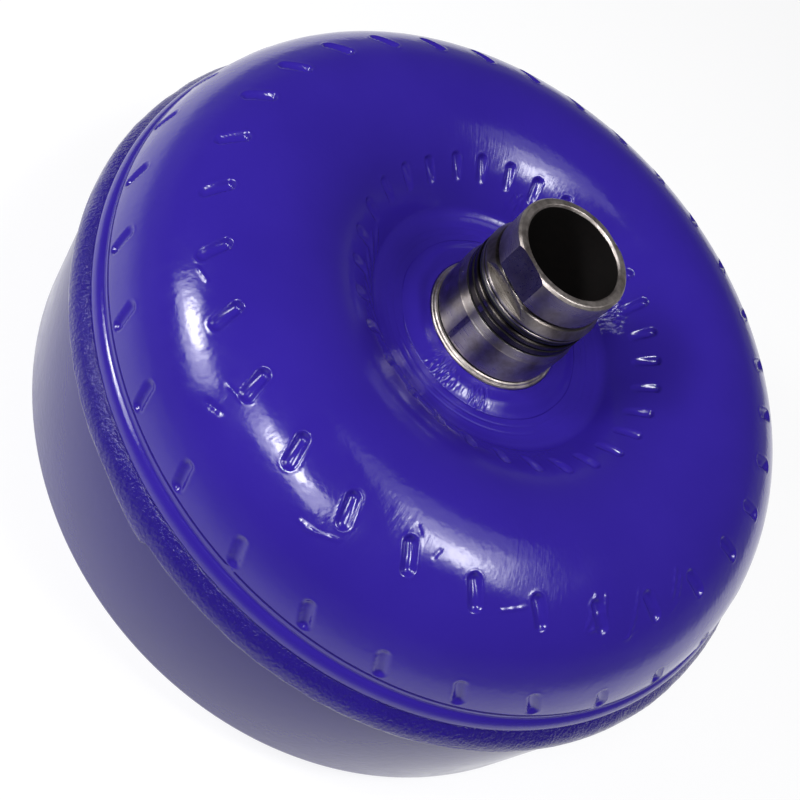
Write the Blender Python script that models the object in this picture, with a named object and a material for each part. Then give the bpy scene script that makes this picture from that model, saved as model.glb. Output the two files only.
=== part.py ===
"""Lock-up torque converter, modelled as the pieces it is assembled from.

Frame: metres, +Z up along the turning axis, gearbox side up, origin at the centre of the crank
pilot's tip. Every size below is in millimetres and is turned to metres when a mesh is made.
A turned piece is given by its outline, a list of (radius, height) points round one section.
"""

import math

import bmesh
import bpy
from mathutils import Matrix, Vector

MM = 0.001
GAP = 0.3                      # between pieces that touch or are welded together

# Driving sizes
HEIGHT = 167.5                 # pilot tip to the end of the pump hub
SEAM_Z = 83.0                  # plane where the front cover meets the impeller shell
SEAM_RADIUS = 155.4            # crest of the closing weld
COVER_RADIUS = 154.8
COVER_WALL = 4.0
COVER_FACE_Z = 13.0            # outside of the front cover's flat face
COVER_SHEET = 4.5
COVER_STEP = 3.0               # how far the cover's centre is pressed towards the engine
TORUS_RADIUS = 97.5            # centre line of the fluid ring
IMPELLER_TORUS_Z = 87.8
IMPELLER_SECTION = 51.6        # outside of the impeller shell's round section
IMPELLER_SHEET = 4.0
TURBINE_TORUS_Z = 86.5
TURBINE_SECTION = 46.6
TURBINE_SHEET = 1.6
CORE_SECTION = 20.0            # section of the core rings inside the blades
DISH_Z = 111.8                 # floor of the dish round the pump hub

IMPELLER_BLADES = 31
TURBINE_BLADES = 29
STATOR_BLADES = 19
CROWN_DEG = 61.9               # section angle from which the blades' sweep is counted
FIRST_BLADE_DEG = 159.6        # turn of the impeller's first blade at that angle
BLADE_SHEET = 1.0
BLADE_START_DEG, BLADE_STOP_DEG = 6.0, 146.0      # section angles that the blades span
BLADE_SPANS = 3
CORE_SHEET = 1.4

HUB_BORE = 19.25
HUB_NOSE = 23.3
HUB_JOURNAL = 26.6
HUB_FLAT = 21.8                # distance of the two drive flats from the axis
HUB_FLAT_DEG = -108.0
HUB_COLLAR = 28.5

PAD_COUNT = 6
PAD_CIRCLE = 118.0             # radius of the flexplate bolt circle
PAD_FACE_Z = 4.0
PAD_WIDTH, PAD_DEPTH = 36.0, 28.0
PAD_CORNER = 5.0
PAD_THREAD = 4.3               # core radius of an M10 thread
PILOT_RADIUS = 22.0
PLUG_CIRCLE = 88.0
PLUG_HOLE = 5.4                # the plug's shank is cut back to clear it
WEIGHT_CIRCLE = 140.0

SPRING_COUNT = 6
SPRING_CIRCLE = 108.0
SPRING_Z = 32.0
SPRING_RADIUS = 6.4            # centre line of the wire
SPRING_WIRE = 1.6              # radius of the wire
SPRING_LENGTH = 37.0
SPRING_TURNS = 5
SPRING_SIDES = 7               # points of the coil per turn
WINDOW_DEG = 11.2              # half the angle of a spring window
WINDOW_WIDTH = 17.4            # of a spring window, along the radius
LUG_COUNT = 8
LINING = 1.0                   # thickness of the friction ring

ROLLER_COUNT = 8
ROLLER_RADIUS = 4.0
ROLLER_CIRCLE = 29.6
RACE_SPLINES = 24
TURBINE_SPLINES = 20

# Facets round the axis: pieces that nest share a count, so their gaps stay even
BIG_STEPS = 40
PLATE_STEPS = 32
HUB_STEPS = 28
SMALL_STEPS = 20


def clear_scene():
    """Remove everything that is in the file already."""
    for piece in list(bpy.data.objects):
        bpy.data.objects.remove(piece, do_unlink=True)


def finish(name, colour, roughness, metallic):
    """Return a Principled material with one colour (linear RGB)."""
    material = bpy.data.materials.new(name)
    material.use_nodes = True
    shader = material.node_tree.nodes["Principled BSDF"]
    shader.inputs["Base Color"].default_value = (*colour, 1.0)
    shader.inputs["Roughness"].default_value = roughness
    shader.inputs["Metallic"].default_value = metallic
    return material


def place(name, mesh, material, parent=None, at=(0, 0, 0), turn_deg=0.0):
    """Link a mesh as a piece, at a point in millimetres, turned about its own Z axis."""
    piece = bpy.data.objects.new(name, mesh)
    bpy.context.collection.objects.link(piece)
    if material and not mesh.materials:
        mesh.materials.append(material)
    piece.parent = parent
    base = parent.location if parent else Vector((0, 0, 0))
    piece.location = Vector(at) * MM - base
    piece.rotation_euler.z = math.radians(turn_deg)
    return piece


def axis_empty(name, height):
    """An empty on the turning axis, which a moving group hangs from."""
    empty = bpy.data.objects.new(name, None)
    bpy.context.collection.objects.link(empty)
    empty.location.z = height * MM
    return empty


def mesh_from(bm, name, smooth=True):
    """Close up a bmesh built in millimetres and return it as a mesh in metres."""
    bmesh.ops.remove_doubles(bm, verts=bm.verts, dist=1e-4)
    bmesh.ops.recalc_face_normals(bm, faces=bm.faces)
    bm.transform(Matrix.Scale(MM, 4))
    mesh = bpy.data.meshes.new(name)
    bm.to_mesh(mesh)
    bm.free()
    if smooth:
        mesh.shade_smooth()
        mesh.set_sharp_from_angle(angle=math.radians(32))
    return mesh


def turned_bmesh(outline, steps, angle=math.tau):
    """Spin a closed outline of (radius, height) points round the Z axis."""
    bm = bmesh.new()
    ring = [bm.verts.new((radius, 0, height)) for radius, height in outline]
    edges = [bm.edges.new((a, b)) for a, b in zip(ring, ring[1:] + ring[:1])
             if not a.co.x == b.co.x == 0]
    full = math.isclose(angle, math.tau)
    bmesh.ops.spin(bm, geom=ring + edges, cent=(0, 0, 0), axis=(0, 0, 1), dvec=(0, 0, 0),
                   angle=angle, steps=steps, use_merge=full, use_duplicate=False)
    bmesh.ops.remove_doubles(bm, verts=bm.verts, dist=1e-4)
    if not full:
        bmesh.ops.holes_fill(bm, edges=[edge for edge in bm.edges if edge.is_boundary])
    return bm


def turned(name, outline, material, steps, parent=None):
    """A turned piece on the axis."""
    base = parent.location.z / MM if parent else 0.0
    shifted = [(radius, height - base) for radius, height in outline]
    mesh = mesh_from(turned_bmesh(shifted, steps), name)
    return place(name, mesh, material, parent, at=(0, 0, base))


def washer(name, inner, outer, low, high, material, steps=SMALL_STEPS, parent=None):
    """A plain ring of rectangular section."""
    outline = [(inner, low), (outer, low), (outer, high), (inner, high)]
    return turned(name, outline, material, steps, parent)


def arc(centre, section, start_deg, stop_deg, steps):
    """Points of a circular arc in the section plane, angles from the outward radius."""
    points = []
    for k in range(steps + 1):
        angle = math.radians(start_deg + (stop_deg - start_deg) * k / steps)
        points.append((centre[0] + section * math.cos(angle), centre[1] + section * math.sin(angle)))
    return points


def box_bmesh(boxes):
    """Closed boxes given as (centre, size, turn about Z in degrees)."""
    bm = bmesh.new()
    for centre, size, turn in boxes:
        matrix = (Matrix.Rotation(math.radians(turn), 4, "Z") @ Matrix.Translation(centre)
                  @ Matrix.Diagonal((*size, 1.0)))
        bmesh.ops.create_cube(bm, size=1.0, matrix=matrix)
    return bm


def cutter(name, bm):
    """A hidden body that only shapes another piece."""
    piece = place(name, mesh_from(bm, name, smooth=False), None)
    piece.hide_render = True
    piece.display_type = "WIRE"
    return piece


def shape_with(piece, tool, operation="DIFFERENCE"):
    """Cut a piece with a tool body, or join the body to it."""
    modifier = piece.modifiers.new(tool.name, "BOOLEAN")
    modifier.operation = operation
    modifier.solver = "EXACT"
    modifier.object = tool


def round_tool(name, radius, low, high, spots=((0.0, 0.0),), sides=12):
    """A cutter of upright cylinders, one at each spot."""
    bm = bmesh.new()
    for x, y in spots:
        middle = Matrix.Translation((x, y, (low + high) / 2))
        bmesh.ops.create_cone(bm, cap_ends=True, segments=sides, radius1=radius, radius2=radius,
                              depth=high - low, matrix=middle)
    return cutter(name, bm)


def spline_bore(piece, bore, depth, teeth):
    """Push every second bore point outward, which leaves pointed serrations."""
    for vertex in piece.data.vertices:
        radius = math.hypot(vertex.co.x, vertex.co.y) / MM
        turn = math.atan2(vertex.co.y, vertex.co.x)
        if radius < bore + 0.01 and round(turn / math.tau * teeth * 2) % 2:
            vertex.co.x *= (bore + depth) / radius
            vertex.co.y *= (bore + depth) / radius


def on_blade(line, count, first_deg, centre_z, section_deg, depth, sweep, mirror):
    """Point of a blade's left (even line) or right (odd line) side, by section angle and depth."""
    section = math.radians(section_deg)
    radius = TORUS_RADIUS + depth * math.cos(section)
    middle = first_deg + 360.0 * (line // 2) / count + sweep * (CROWN_DEG - section_deg)
    side = 1 if line % 2 else -1
    angle = math.radians(middle) + side * BLADE_SHEET / 2 / radius
    height = centre_z + mirror * depth * math.sin(section)
    return Vector((radius * math.cos(angle), radius * math.sin(angle), height))


def blade_set(name, count, first_deg, centre_z, tip, sweep, mirror, material, parent=None):
    """Core ring and the curved blades brazed to it, raised from its narrow sectors."""
    lines = 2 * count
    bm = bmesh.new()
    grid = []
    for line in range(lines):
        row = []
        for k in range(BLADE_SPANS + 1):
            section_deg = BLADE_START_DEG + (BLADE_STOP_DEG - BLADE_START_DEG) * k / BLADE_SPANS
            row.append([bm.verts.new(on_blade(line, count, first_deg, centre_z, section_deg, depth,
                                              sweep, mirror))
                        for depth in (CORE_SECTION - CORE_SHEET, CORE_SECTION, tip)])
        grid.append(row)
    for line in range(lines):
        here, after = grid[line], grid[(line + 1) % lines]
        top = 2 if line % 2 == 0 else 1
        for k in range(BLADE_SPANS):
            bm.faces.new((here[k][top], here[k + 1][top], after[k + 1][top], after[k][top]))
            bm.faces.new((here[k][0], here[k + 1][0], after[k + 1][0], after[k][0]))
            bm.faces.new((here[k][1], here[k + 1][1], here[k + 1][2], here[k][2]))
        for k in (0, BLADE_SPANS):
            bm.faces.new([row[k][depth] for row, depth in ((here, 0), (here, 1), (after, 1), (after, 0))])
            if top == 2:
                bm.faces.new([row[k][depth] for row, depth in ((here, 1), (here, 2), (after, 2), (after, 1))])
    base = parent.location.z / MM if parent else 0.0
    bmesh.ops.translate(bm, verts=bm.verts, vec=(0, 0, -base))
    place(name, mesh_from(bm, name), material, parent, at=(0, 0, base))


def front_cover(paint):
    """Deep pressed cover: flat face with a stepped centre, tight corner and straight wall."""
    inner_radius = COVER_RADIUS - COVER_WALL
    inner_z = COVER_FACE_Z + COVER_SHEET
    corner = 6.0
    outline = [(0, COVER_FACE_Z - COVER_STEP), (46, COVER_FACE_Z - COVER_STEP), (52, COVER_FACE_Z)]
    outline += arc((COVER_RADIUS - corner, COVER_FACE_Z + corner), corner, -90, 0, 3)
    outline += [(COVER_RADIUS, SEAM_Z - GAP), (inner_radius, SEAM_Z - GAP), (inner_radius, inner_z + 2),
                (inner_radius - 2, inner_z), (52, inner_z), (46, inner_z - COVER_STEP),
                (0, inner_z - COVER_STEP)]
    cover = turned("front_cover", outline, paint, BIG_STEPS)
    plug_hole = round_tool("drain_hole", PLUG_HOLE, 0, 30, spots=[(0.0, PLUG_CIRCLE)])
    shape_with(cover, plug_hole)


def crank_pilot(steel):
    """Stub that centres the converter in the crankshaft, with a chamfered tip."""
    top = COVER_FACE_Z - COVER_STEP - GAP
    outline = [(0, 0), (PILOT_RADIUS - 1.5, 0), (PILOT_RADIUS, 1.5), (PILOT_RADIUS, 6.5),
               (PILOT_RADIUS + 3, top), (0, top)]
    turned("crank_pilot", outline, steel, SMALL_STEPS)


def drive_pads(steel):
    """Six tapped blocks on the cover's face, which the flexplate bolts to."""
    top = COVER_FACE_Z - GAP
    size = (PAD_DEPTH, PAD_WIDTH, top - PAD_FACE_Z)
    bm = box_bmesh([((0, 0, size[2] / 2), size, 0)])
    upright = [edge for edge in bm.edges
               if abs(edge.verts[0].co.x - edge.verts[1].co.x) < 1e-6
               and abs(edge.verts[0].co.y - edge.verts[1].co.y) < 1e-6]
    bmesh.ops.bevel(bm, geom=upright, offset=PAD_CORNER, segments=2, profile=0.5, affect="EDGES")
    block = mesh_from(bm, "drive_pad")
    for index in range(PAD_COUNT):
        turn = 30 + 360 * index / PAD_COUNT
        x = PAD_CIRCLE * math.cos(math.radians(turn))
        y = PAD_CIRCLE * math.sin(math.radians(turn))
        pad = place(f"drive_pad_{index + 1}", block, steel, at=(x, y, PAD_FACE_Z), turn_deg=turn)
        hole = round_tool(f"pad_thread_{index + 1}", PAD_THREAD, 0, 30, spots=[(x, y)], sides=10)
        shape_with(pad, hole)


def cover_fittings(steel):
    """Balance weight and drain plug on the cover's face."""
    top = COVER_FACE_Z - GAP
    weight = box_bmesh([((WEIGHT_CIRCLE, 0, top - 2.0), (12.0, 26.0, 4.0), 60)])
    place("balance_weight", mesh_from(weight, "balance_weight"), steel)
    bm = bmesh.new()
    bmesh.ops.create_cone(bm, cap_ends=True, segments=6, radius1=8.0, radius2=8.0, depth=4.0)
    upper = max(bm.faces, key=lambda face: face.calc_center_median().z)
    bmesh.ops.inset_region(bm, faces=[upper], thickness=3.0)
    lifted = bmesh.ops.extrude_face_region(bm, geom=[upper])
    verts = [item for item in lifted["geom"] if isinstance(item, bmesh.types.BMVert)]
    bmesh.ops.translate(bm, verts=verts, vec=(0, 0, COVER_SHEET))
    bmesh.ops.delete(bm, geom=[upper], context="FACES_ONLY")
    place("drain_plug", mesh_from(bm, "drain_plug"), steel, at=(0, PLUG_CIRCLE, top - 2.0))


def impeller_shell(paint):
    """Round-section shell with a straight skirt inside the cover and a dish at the hub."""
    centre = (TORUS_RADIUS, IMPELLER_TORUS_Z)
    skirt = COVER_RADIUS - COVER_WALL - GAP
    inner_section = IMPELLER_SECTION - IMPELLER_SHEET
    outline = [(skirt, SEAM_Z - 12), (skirt, SEAM_Z + 8.5), (skirt + 0.4, SEAM_Z + 9),
               (skirt - 0.1, SEAM_Z + 11.5), (skirt - 2.3, SEAM_Z + 14.6)]
    outline += arc(centre, IMPELLER_SECTION, 14, 150, 8)
    outline += [(51.0, DISH_Z + 0.3), (49.5, DISH_Z), (30.0, DISH_Z), (30.0, DISH_Z - IMPELLER_SHEET),
                (54.3, DISH_Z - IMPELLER_SHEET)]
    outline += arc(centre, inner_section, 150, 10, 7)
    outline += [(skirt - IMPELLER_SHEET, SEAM_Z + 10), (skirt - IMPELLER_SHEET, SEAM_Z - 12)]
    turned("impeller_shell", outline, paint, BIG_STEPS)


def closing_weld(paint):
    """Bead laid in the corner between the cover's edge and the impeller shell."""
    inner = COVER_RADIUS - COVER_WALL + 0.1
    outline = [(inner, SEAM_Z), (COVER_RADIUS, SEAM_Z), (SEAM_RADIUS, SEAM_Z + 1.6),
               (SEAM_RADIUS - 0.9, SEAM_Z + 4.4), (SEAM_RADIUS - 3, SEAM_Z + 7.4), (inner, SEAM_Z + 8.3)]
    turned("closing_weld", outline, paint, BIG_STEPS)


def pump_hub(steel, rubber):
    """Hub that drives the oil pump: flange, journal, seal groove and a nose with two flats."""
    flange_low, flange_high = 101.5, DISH_Z - IMPELLER_SHEET - GAP
    outline = [(HUB_BORE, flange_low), (46.0, flange_low), (46.0, flange_high),
               (HUB_COLLAR, flange_high), (HUB_COLLAR, 115.1), (27.2, 115.1), (27.0, 116.4),
               (HUB_JOURNAL, 116.8), (HUB_JOURNAL, 132.0), (25.4, 135.4), (25.4, 142.7),
               (22.8, 142.7), (22.8, 145.9), (25.3, 145.9), (25.3, 148.5), (23.6, 152.2),
               (21.5, 152.6), (21.5, 153.7), (HUB_NOSE, 154.0), (HUB_NOSE, HEIGHT - 0.9),
               (HUB_NOSE - 0.9, HEIGHT), (20.4, HEIGHT), (HUB_BORE, HEIGHT - 1.2)]
    hub = turned("pump_hub", outline, steel, HUB_STEPS)
    depth = 10.0
    flats = [((HUB_FLAT + depth / 2, 0, 159.0), (depth, 60.0, 20.0), HUB_FLAT_DEG + turn)
             for turn in (0, 180)]
    shape_with(hub, cutter("hub_flats", box_bmesh(flats)))
    washer("hub_oring", 23.1, 25.0, 143.1, 145.5, rubber, HUB_STEPS)


def hub_weld(paint):
    """Fillet weld round the collar of the pump hub."""
    inner = HUB_COLLAR + GAP
    low = DISH_Z + GAP
    outline = [(inner, low), (39.5, low), (38.6, low + 0.8), (31.0, low + 2.2), (inner, low + 2.4)]
    turned("hub_weld", outline, paint, HUB_STEPS)


def impeller_blades(steel):
    """Impeller blades: as many as there are rows of tab marks on the shell."""
    tip = (IMPELLER_SECTION - IMPELLER_SHEET) * math.cos(math.radians(10)) - GAP
    blade_set("impeller_blade_set", IMPELLER_BLADES, FIRST_BLADE_DEG, IMPELLER_TORUS_Z, tip, 0.12, 1, steel)


def turbine(steel, stamped, parent):
    """Turbine shell, its blades and the splined hub that drives the gearbox input shaft."""
    centre = (TORUS_RADIUS, TURBINE_TORUS_Z)
    outline = arc(centre, TURBINE_SECTION, 0, -150, 6)
    outline += [(51.0, 60.3), (37.6, 60.3), (37.6, 61.9), (50.3, 61.9)]
    outline += arc(centre, TURBINE_SECTION - TURBINE_SHEET, -150, 0, 6)
    turned("turbine_shell", outline, stamped, PLATE_STEPS, parent)
    tip = (TURBINE_SECTION - TURBINE_SHEET) * math.cos(math.radians(15)) - GAP
    blade_set("turbine_blade_set", TURBINE_BLADES, 0.0, TURBINE_TORUS_Z, tip, -0.14, -1, stamped, parent)
    bore = 12.4
    outline = [(bore, 18.6), (30.0, 18.6), (30.0, 26.5), (28.2, 26.5), (28.2, 28.7), (30.0, 28.7),
               (30.0, 38.0), (26.0, 40.0), (26.0, 54.0), (50.0, 55.5), (50.0, 60.0), (37.2, 60.0),
               (37.2, 62.0), (bore, 62.0)]
    hub = turned("turbine_hub", outline, steel, 2 * TURBINE_SPLINES, parent)
    spline_bore(hub, bore, 1.1, TURBINE_SPLINES)
    washer("piston_seal_ring", 28.4, 30.05, 26.7, 28.5, steel, HUB_STEPS, parent)


def window_tool(name, low, high):
    """Cutter for the spring windows of one damper plate."""
    half = SPRING_CIRCLE * math.tan(math.radians(WINDOW_DEG))
    boxes = [((SPRING_CIRCLE, 0, (low + high) / 2), (WINDOW_WIDTH, 2 * half, high - low + 2),
              360 * k / SPRING_COUNT)
             for k in range(SPRING_COUNT)]
    return cutter(name, box_bmesh(boxes))


def damper(stamped, spring_steel, turbine_axis, damper_axis):
    """Torsional damper: plate on the turbine, two outer plates round it, and the coil springs."""
    outline = [(86.0, 30.9), (124.0, 30.9), (124.0, 33.1), (88.5, 33.1), (88.5, 40.4), (86.0, 40.4)]
    middle = turned("damper_hub_plate", outline, stamped, PLATE_STEPS, turbine_axis)
    shape_with(middle, window_tool("hub_plate_windows", 30.9, 33.1))
    drive = washer("damper_drive_plate", 92, 140, 26.6, 28.6, stamped, PLATE_STEPS, damper_axis)
    shape_with(drive, window_tool("drive_plate_windows", 26.6, 28.6))
    lugs = [((143.0, 0, 27.6), (11.2, 18.0, 2.0), 360 * (k + 0.5) / LUG_COUNT) for k in range(LUG_COUNT)]
    shape_with(drive, cutter("drive_lugs", box_bmesh(lugs)), "UNION")
    rear = washer("damper_retainer_plate", 92, 134, 35.4, 37.4, stamped, PLATE_STEPS, damper_axis)
    shape_with(rear, window_tool("retainer_plate_windows", 35.4, 37.4))
    for index in range(3):
        spacer = bmesh.new()
        bmesh.ops.create_cone(spacer, cap_ends=True, segments=10, radius1=3.5, radius2=3.5, depth=6.2)
        turn = math.radians(30 + 120 * index)
        place(f"damper_spacer_{index + 1}", mesh_from(spacer, "damper_spacer"), stamped, damper_axis,
              at=(129 * math.cos(turn), 129 * math.sin(turn), 32.0))
    coil = spring_curve("damper_spring", spring_steel)
    for index in range(SPRING_COUNT):
        turn = 360 * index / SPRING_COUNT
        x = SPRING_CIRCLE * math.cos(math.radians(turn))
        y = SPRING_CIRCLE * math.sin(math.radians(turn))
        place(f"damper_spring_{index + 1}", coil, None, damper_axis, at=(x, y, SPRING_Z), turn_deg=turn)


def spring_curve(name, material):
    """Coil spring along Y: a round wire on a helix."""
    count = SPRING_TURNS * SPRING_SIDES
    curve = bpy.data.curves.new(name, "CURVE")
    curve.dimensions = "3D"
    curve.bevel_depth = SPRING_WIRE * MM
    curve.bevel_resolution = 0
    curve.use_fill_caps = True
    spline = curve.splines.new("POLY")
    spline.points.add(count)
    for k, point in enumerate(spline.points):
        turn = math.tau * k / SPRING_SIDES
        y = (k / count - 0.5) * (SPRING_LENGTH - 2 * SPRING_WIRE)
        point.co = (SPRING_RADIUS * math.cos(turn) * MM, y * MM, SPRING_RADIUS * math.sin(turn) * MM, 1)
    curve.materials.append(material)
    return curve


def lockup_piston(stamped, paper, parent):
    """Apply piston with its sliding collar, slotted rim and bonded friction ring.

    It lies down on the cover, as gravity leaves it in a converter that stands on its pilot.
    """
    lining_low = COVER_FACE_Z + COVER_SHEET + GAP
    plate_low = lining_low + LINING + GAP
    plate_high = plate_low + 3.0
    outline = [(30.3, 20.9), (60.0, 20.9), (66.0, plate_low), (147.5, plate_low), (149.0, plate_low + 1.5),
               (149.0, 31.0), (146.4, 31.0), (146.4, plate_high), (68.0, plate_high), (62.0, 23.9),
               (34.5, 23.9), (34.5, 32.0), (30.3, 32.0)]
    piston = turned("lockup_piston", outline, stamped, BIG_STEPS, parent)
    slots = [((147.5, 0, 28.8), (8.0, 19.2, 8.0), 360 * (k + 0.5) / LUG_COUNT) for k in range(LUG_COUNT)]
    shape_with(piston, cutter("rim_slots", box_bmesh(slots)))
    washer("friction_lining", 118.0, 145.0, lining_low, lining_low + LINING, paper, PLATE_STEPS, parent)


def stator(aluminium, steel, parent):
    """Cast stator wheel and the roller clutch pressed into it."""
    hub = [(42.0, 66.5), (50.8, 66.5), (50.8, 99.5), (42.0, 99.5), (42.0, 98.1), (43.6, 98.1),
           (43.6, 96.3), (42.0, 96.3)]
    wheel = turned("stator_wheel", hub, aluminium, 2 * STATOR_BLADES, parent)
    bm = turned_bmesh([(75.4, 78.5), (77.4, 78.5), (77.4, 95.0), (75.4, 95.0)], 2 * STATOR_BLADES)
    rim = cutter("stator_rim", bm)
    shape_with(wheel, stator_blades(), "UNION")
    shape_with(wheel, rim, "UNION")

    cam = washer("clutch_cam_race", 33.95, 41.7, 70.8, 93.2, steel, 8 * ROLLER_COUNT, parent)
    cam_ramps(cam)
    outline = [(26.2, 66.3), (41.7, 66.3), (41.7, 70.5), (26.2, 70.5)]
    turned("clutch_front_cap", outline, aluminium, SMALL_STEPS, parent)
    outline = [(26.2, 93.5), (41.7, 93.5), (41.7, 96.2), (38.5, 96.2), (38.5, 97.7), (26.2, 97.7)]
    turned("clutch_rear_cap", outline, aluminium, SMALL_STEPS, parent)
    base = parent.location.z / MM
    section = [(39.5, 96.5 - base), (43.3, 96.5 - base), (43.3, 97.9 - base), (39.5, 97.9 - base)]
    snap = mesh_from(turned_bmesh(section, SMALL_STEPS, math.radians(340)), "clutch_snap_ring")
    place("clutch_snap_ring", snap, steel, parent, at=(0, 0, base))
    roller_clutch(steel, parent)


def stator_blades():
    """Cambered stator blades, thick at the nose, spanning hub to rim."""
    chord = [(77.5, 7.5), (80.0, 8.9), (87.0, 4.2), (96.0, -7.0), (84.0, 2.2)]
    bm = bmesh.new()
    for blade in range(STATOR_BLADES):
        turn = Matrix.Rotation(math.tau * blade / STATOR_BLADES, 4, "Z")
        ends = []
        for radius, spread in ((50.2, 0.8), (76.0, 1.1)):
            ends.append([bm.verts.new(turn @ Vector((radius, across * spread, height)))
                         for height, across in chord])
        near, far = ends
        for k in range(len(chord)):
            after = (k + 1) % len(chord)
            bm.faces.new((near[k], near[after], far[after], far[k]))
        bm.faces.new(near)
        bm.faces.new(far)
    return cutter("stator_blades", bm)


def cam_ramps(cam):
    """Deepen the cam race from one end of each roller pocket to the other."""
    for vertex in cam.data.vertices:
        radius = math.hypot(vertex.co.x, vertex.co.y) / MM
        if radius < 35.0:
            share = math.atan2(vertex.co.y, vertex.co.x) / math.tau * ROLLER_COUNT % 1.0
            factor = 1.0 + 1.4 * share / radius
            vertex.co.x *= factor
            vertex.co.y *= factor


def roller_clutch(steel, parent):
    """Rollers and the cage that holds them and their springs."""
    cage = washer("roller_cage", 26.3, 33.0, 71.2, 92.8, steel, 4 * ROLLER_COUNT, parent)
    pockets = [((30.0, 0, 82.0), (12.0, 9.0, 20.6), 360 * (k + 0.25) / ROLLER_COUNT)
               for k in range(ROLLER_COUNT)]
    shape_with(cage, cutter("cage_pockets", box_bmesh(pockets)))
    bm = bmesh.new()
    bmesh.ops.create_cone(bm, cap_ends=True, segments=12, radius1=ROLLER_RADIUS, radius2=ROLLER_RADIUS,
                          depth=20.0)
    roller = mesh_from(bm, "clutch_roller")
    for index in range(ROLLER_COUNT):
        turn = math.tau * (index + 0.25) / ROLLER_COUNT
        x, y = ROLLER_CIRCLE * math.cos(turn), ROLLER_CIRCLE * math.sin(turn)
        place(f"clutch_roller_{index + 1}", roller, steel, parent, at=(x, y, 82.0))


def inner_race(steel, parent):
    """Splined race that sits on the fixed stator support."""
    bore = 17.3
    outline = [(bore, 66.5), (25.4, 66.5), (25.4, 97.2), (bore, 97.2)]
    race = turned("stator_inner_race", outline, steel, 2 * RACE_SPLINES, parent)
    spline_bore(race, bore, 1.1, RACE_SPLINES)


def needle_cage(name, inner, outer, low, high, material, parent=None):
    """Thrust cage: a flat ring with a raised needle in every second sector, on both faces."""
    rise = 0.4
    base = parent.location.z / MM if parent else 0.0
    section = [(inner, low + rise - base), (outer, low + rise - base), (outer, high - rise - base),
               (inner, high - rise - base)]
    bm = turned_bmesh(section, SMALL_STEPS)
    bmesh.ops.recalc_face_normals(bm, faces=bm.faces)
    needles = []
    for face in bm.faces:
        middle = face.calc_center_median()
        sector = int(math.atan2(middle.y, middle.x) % math.tau / math.tau * SMALL_STEPS)
        if abs(face.normal.z) > 0.9 and sector % 2 == 0:
            needles.append(face)
    bmesh.ops.inset_individual(bm, faces=needles, thickness=1.0, depth=rise)
    place(name, mesh_from(bm, name), material, parent, at=(0, 0, base))


def build():
    """Make every piece."""
    clear_scene()
    paint = finish("blue_paint", (0.036, 0.019, 0.352), 0.18, 0.0)
    machined = finish("machined_steel", (0.45, 0.44, 0.43), 0.25, 1.0)
    stamped = finish("stamped_steel", (0.30, 0.30, 0.31), 0.45, 1.0)
    bearing = finish("bearing_steel", (0.60, 0.60, 0.61), 0.15, 1.0)
    spring_steel = finish("spring_steel", (0.16, 0.16, 0.18), 0.35, 1.0)
    aluminium = finish("cast_aluminium", (0.66, 0.66, 0.65), 0.5, 1.0)
    paper = finish("friction_paper", (0.12, 0.08, 0.05), 0.95, 0.0)
    rubber = finish("seal_rubber", (0.01, 0.01, 0.01), 0.6, 0.0)

    front_cover(paint)
    crank_pilot(machined)
    drive_pads(machined)
    cover_fittings(machined)
    impeller_shell(paint)
    closing_weld(paint)
    pump_hub(machined, rubber)
    hub_weld(paint)
    impeller_blades(stamped)
    washer("cover_thrust_race", 20.0, 31.0, 14.8, 16.0, bearing)
    washer("impeller_thrust_race", 24.0, 38.0, 100.3, 101.2, bearing)

    turbine_axis = axis_empty("turbine_axis", 60)
    damper_axis = axis_empty("damper_axis", 32)
    piston_axis = axis_empty("piston_axis", 22)
    race_axis = axis_empty("inner_race_axis", 82)
    stator_axis = axis_empty("stator_axis", 82)
    cover_cage_axis = axis_empty("cover_needle_axis", 17)
    pump_cage_axis = axis_empty("impeller_needle_axis", 99)

    turbine(machined, stamped, turbine_axis)
    washer("turbine_thrust_race", 20.0, 34.0, 62.3, 63.5, bearing, parent=turbine_axis)
    damper(stamped, spring_steel, turbine_axis, damper_axis)
    lockup_piston(stamped, paper, piston_axis)
    stator(aluminium, bearing, stator_axis)
    inner_race(bearing, race_axis)
    needle_cage("cover_needle_cage", 19.5, 30.0, 16.3, 18.3, bearing, cover_cage_axis)
    needle_cage("stator_needle_cage", 20.0, 34.0, 63.8, 66.0, bearing, race_axis)
    needle_cage("impeller_needle_cage", 24.0, 38.0, 98.0, 100.0, bearing, pump_cage_axis)


build()
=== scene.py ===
"""Torque converter: the finished look of every piece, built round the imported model.

The converter stands on its crank pilot with the pump hub up. Sizes of details are in millimetres
and every mesh is turned to metres when it is made. Angles round the axis ("turn") are counted
counter-clockwise from +X, seen from the hub. The fluid ring's shell has a round section, and an
angle on that section ("section angle") is counted from the outward radius towards the crown.
"""

import logging
import math
from collections.abc import Sequence
from dataclasses import dataclass, field
from enum import Enum

import bmesh
import bpy
import numpy as np
from mathutils import Matrix, Vector


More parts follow.
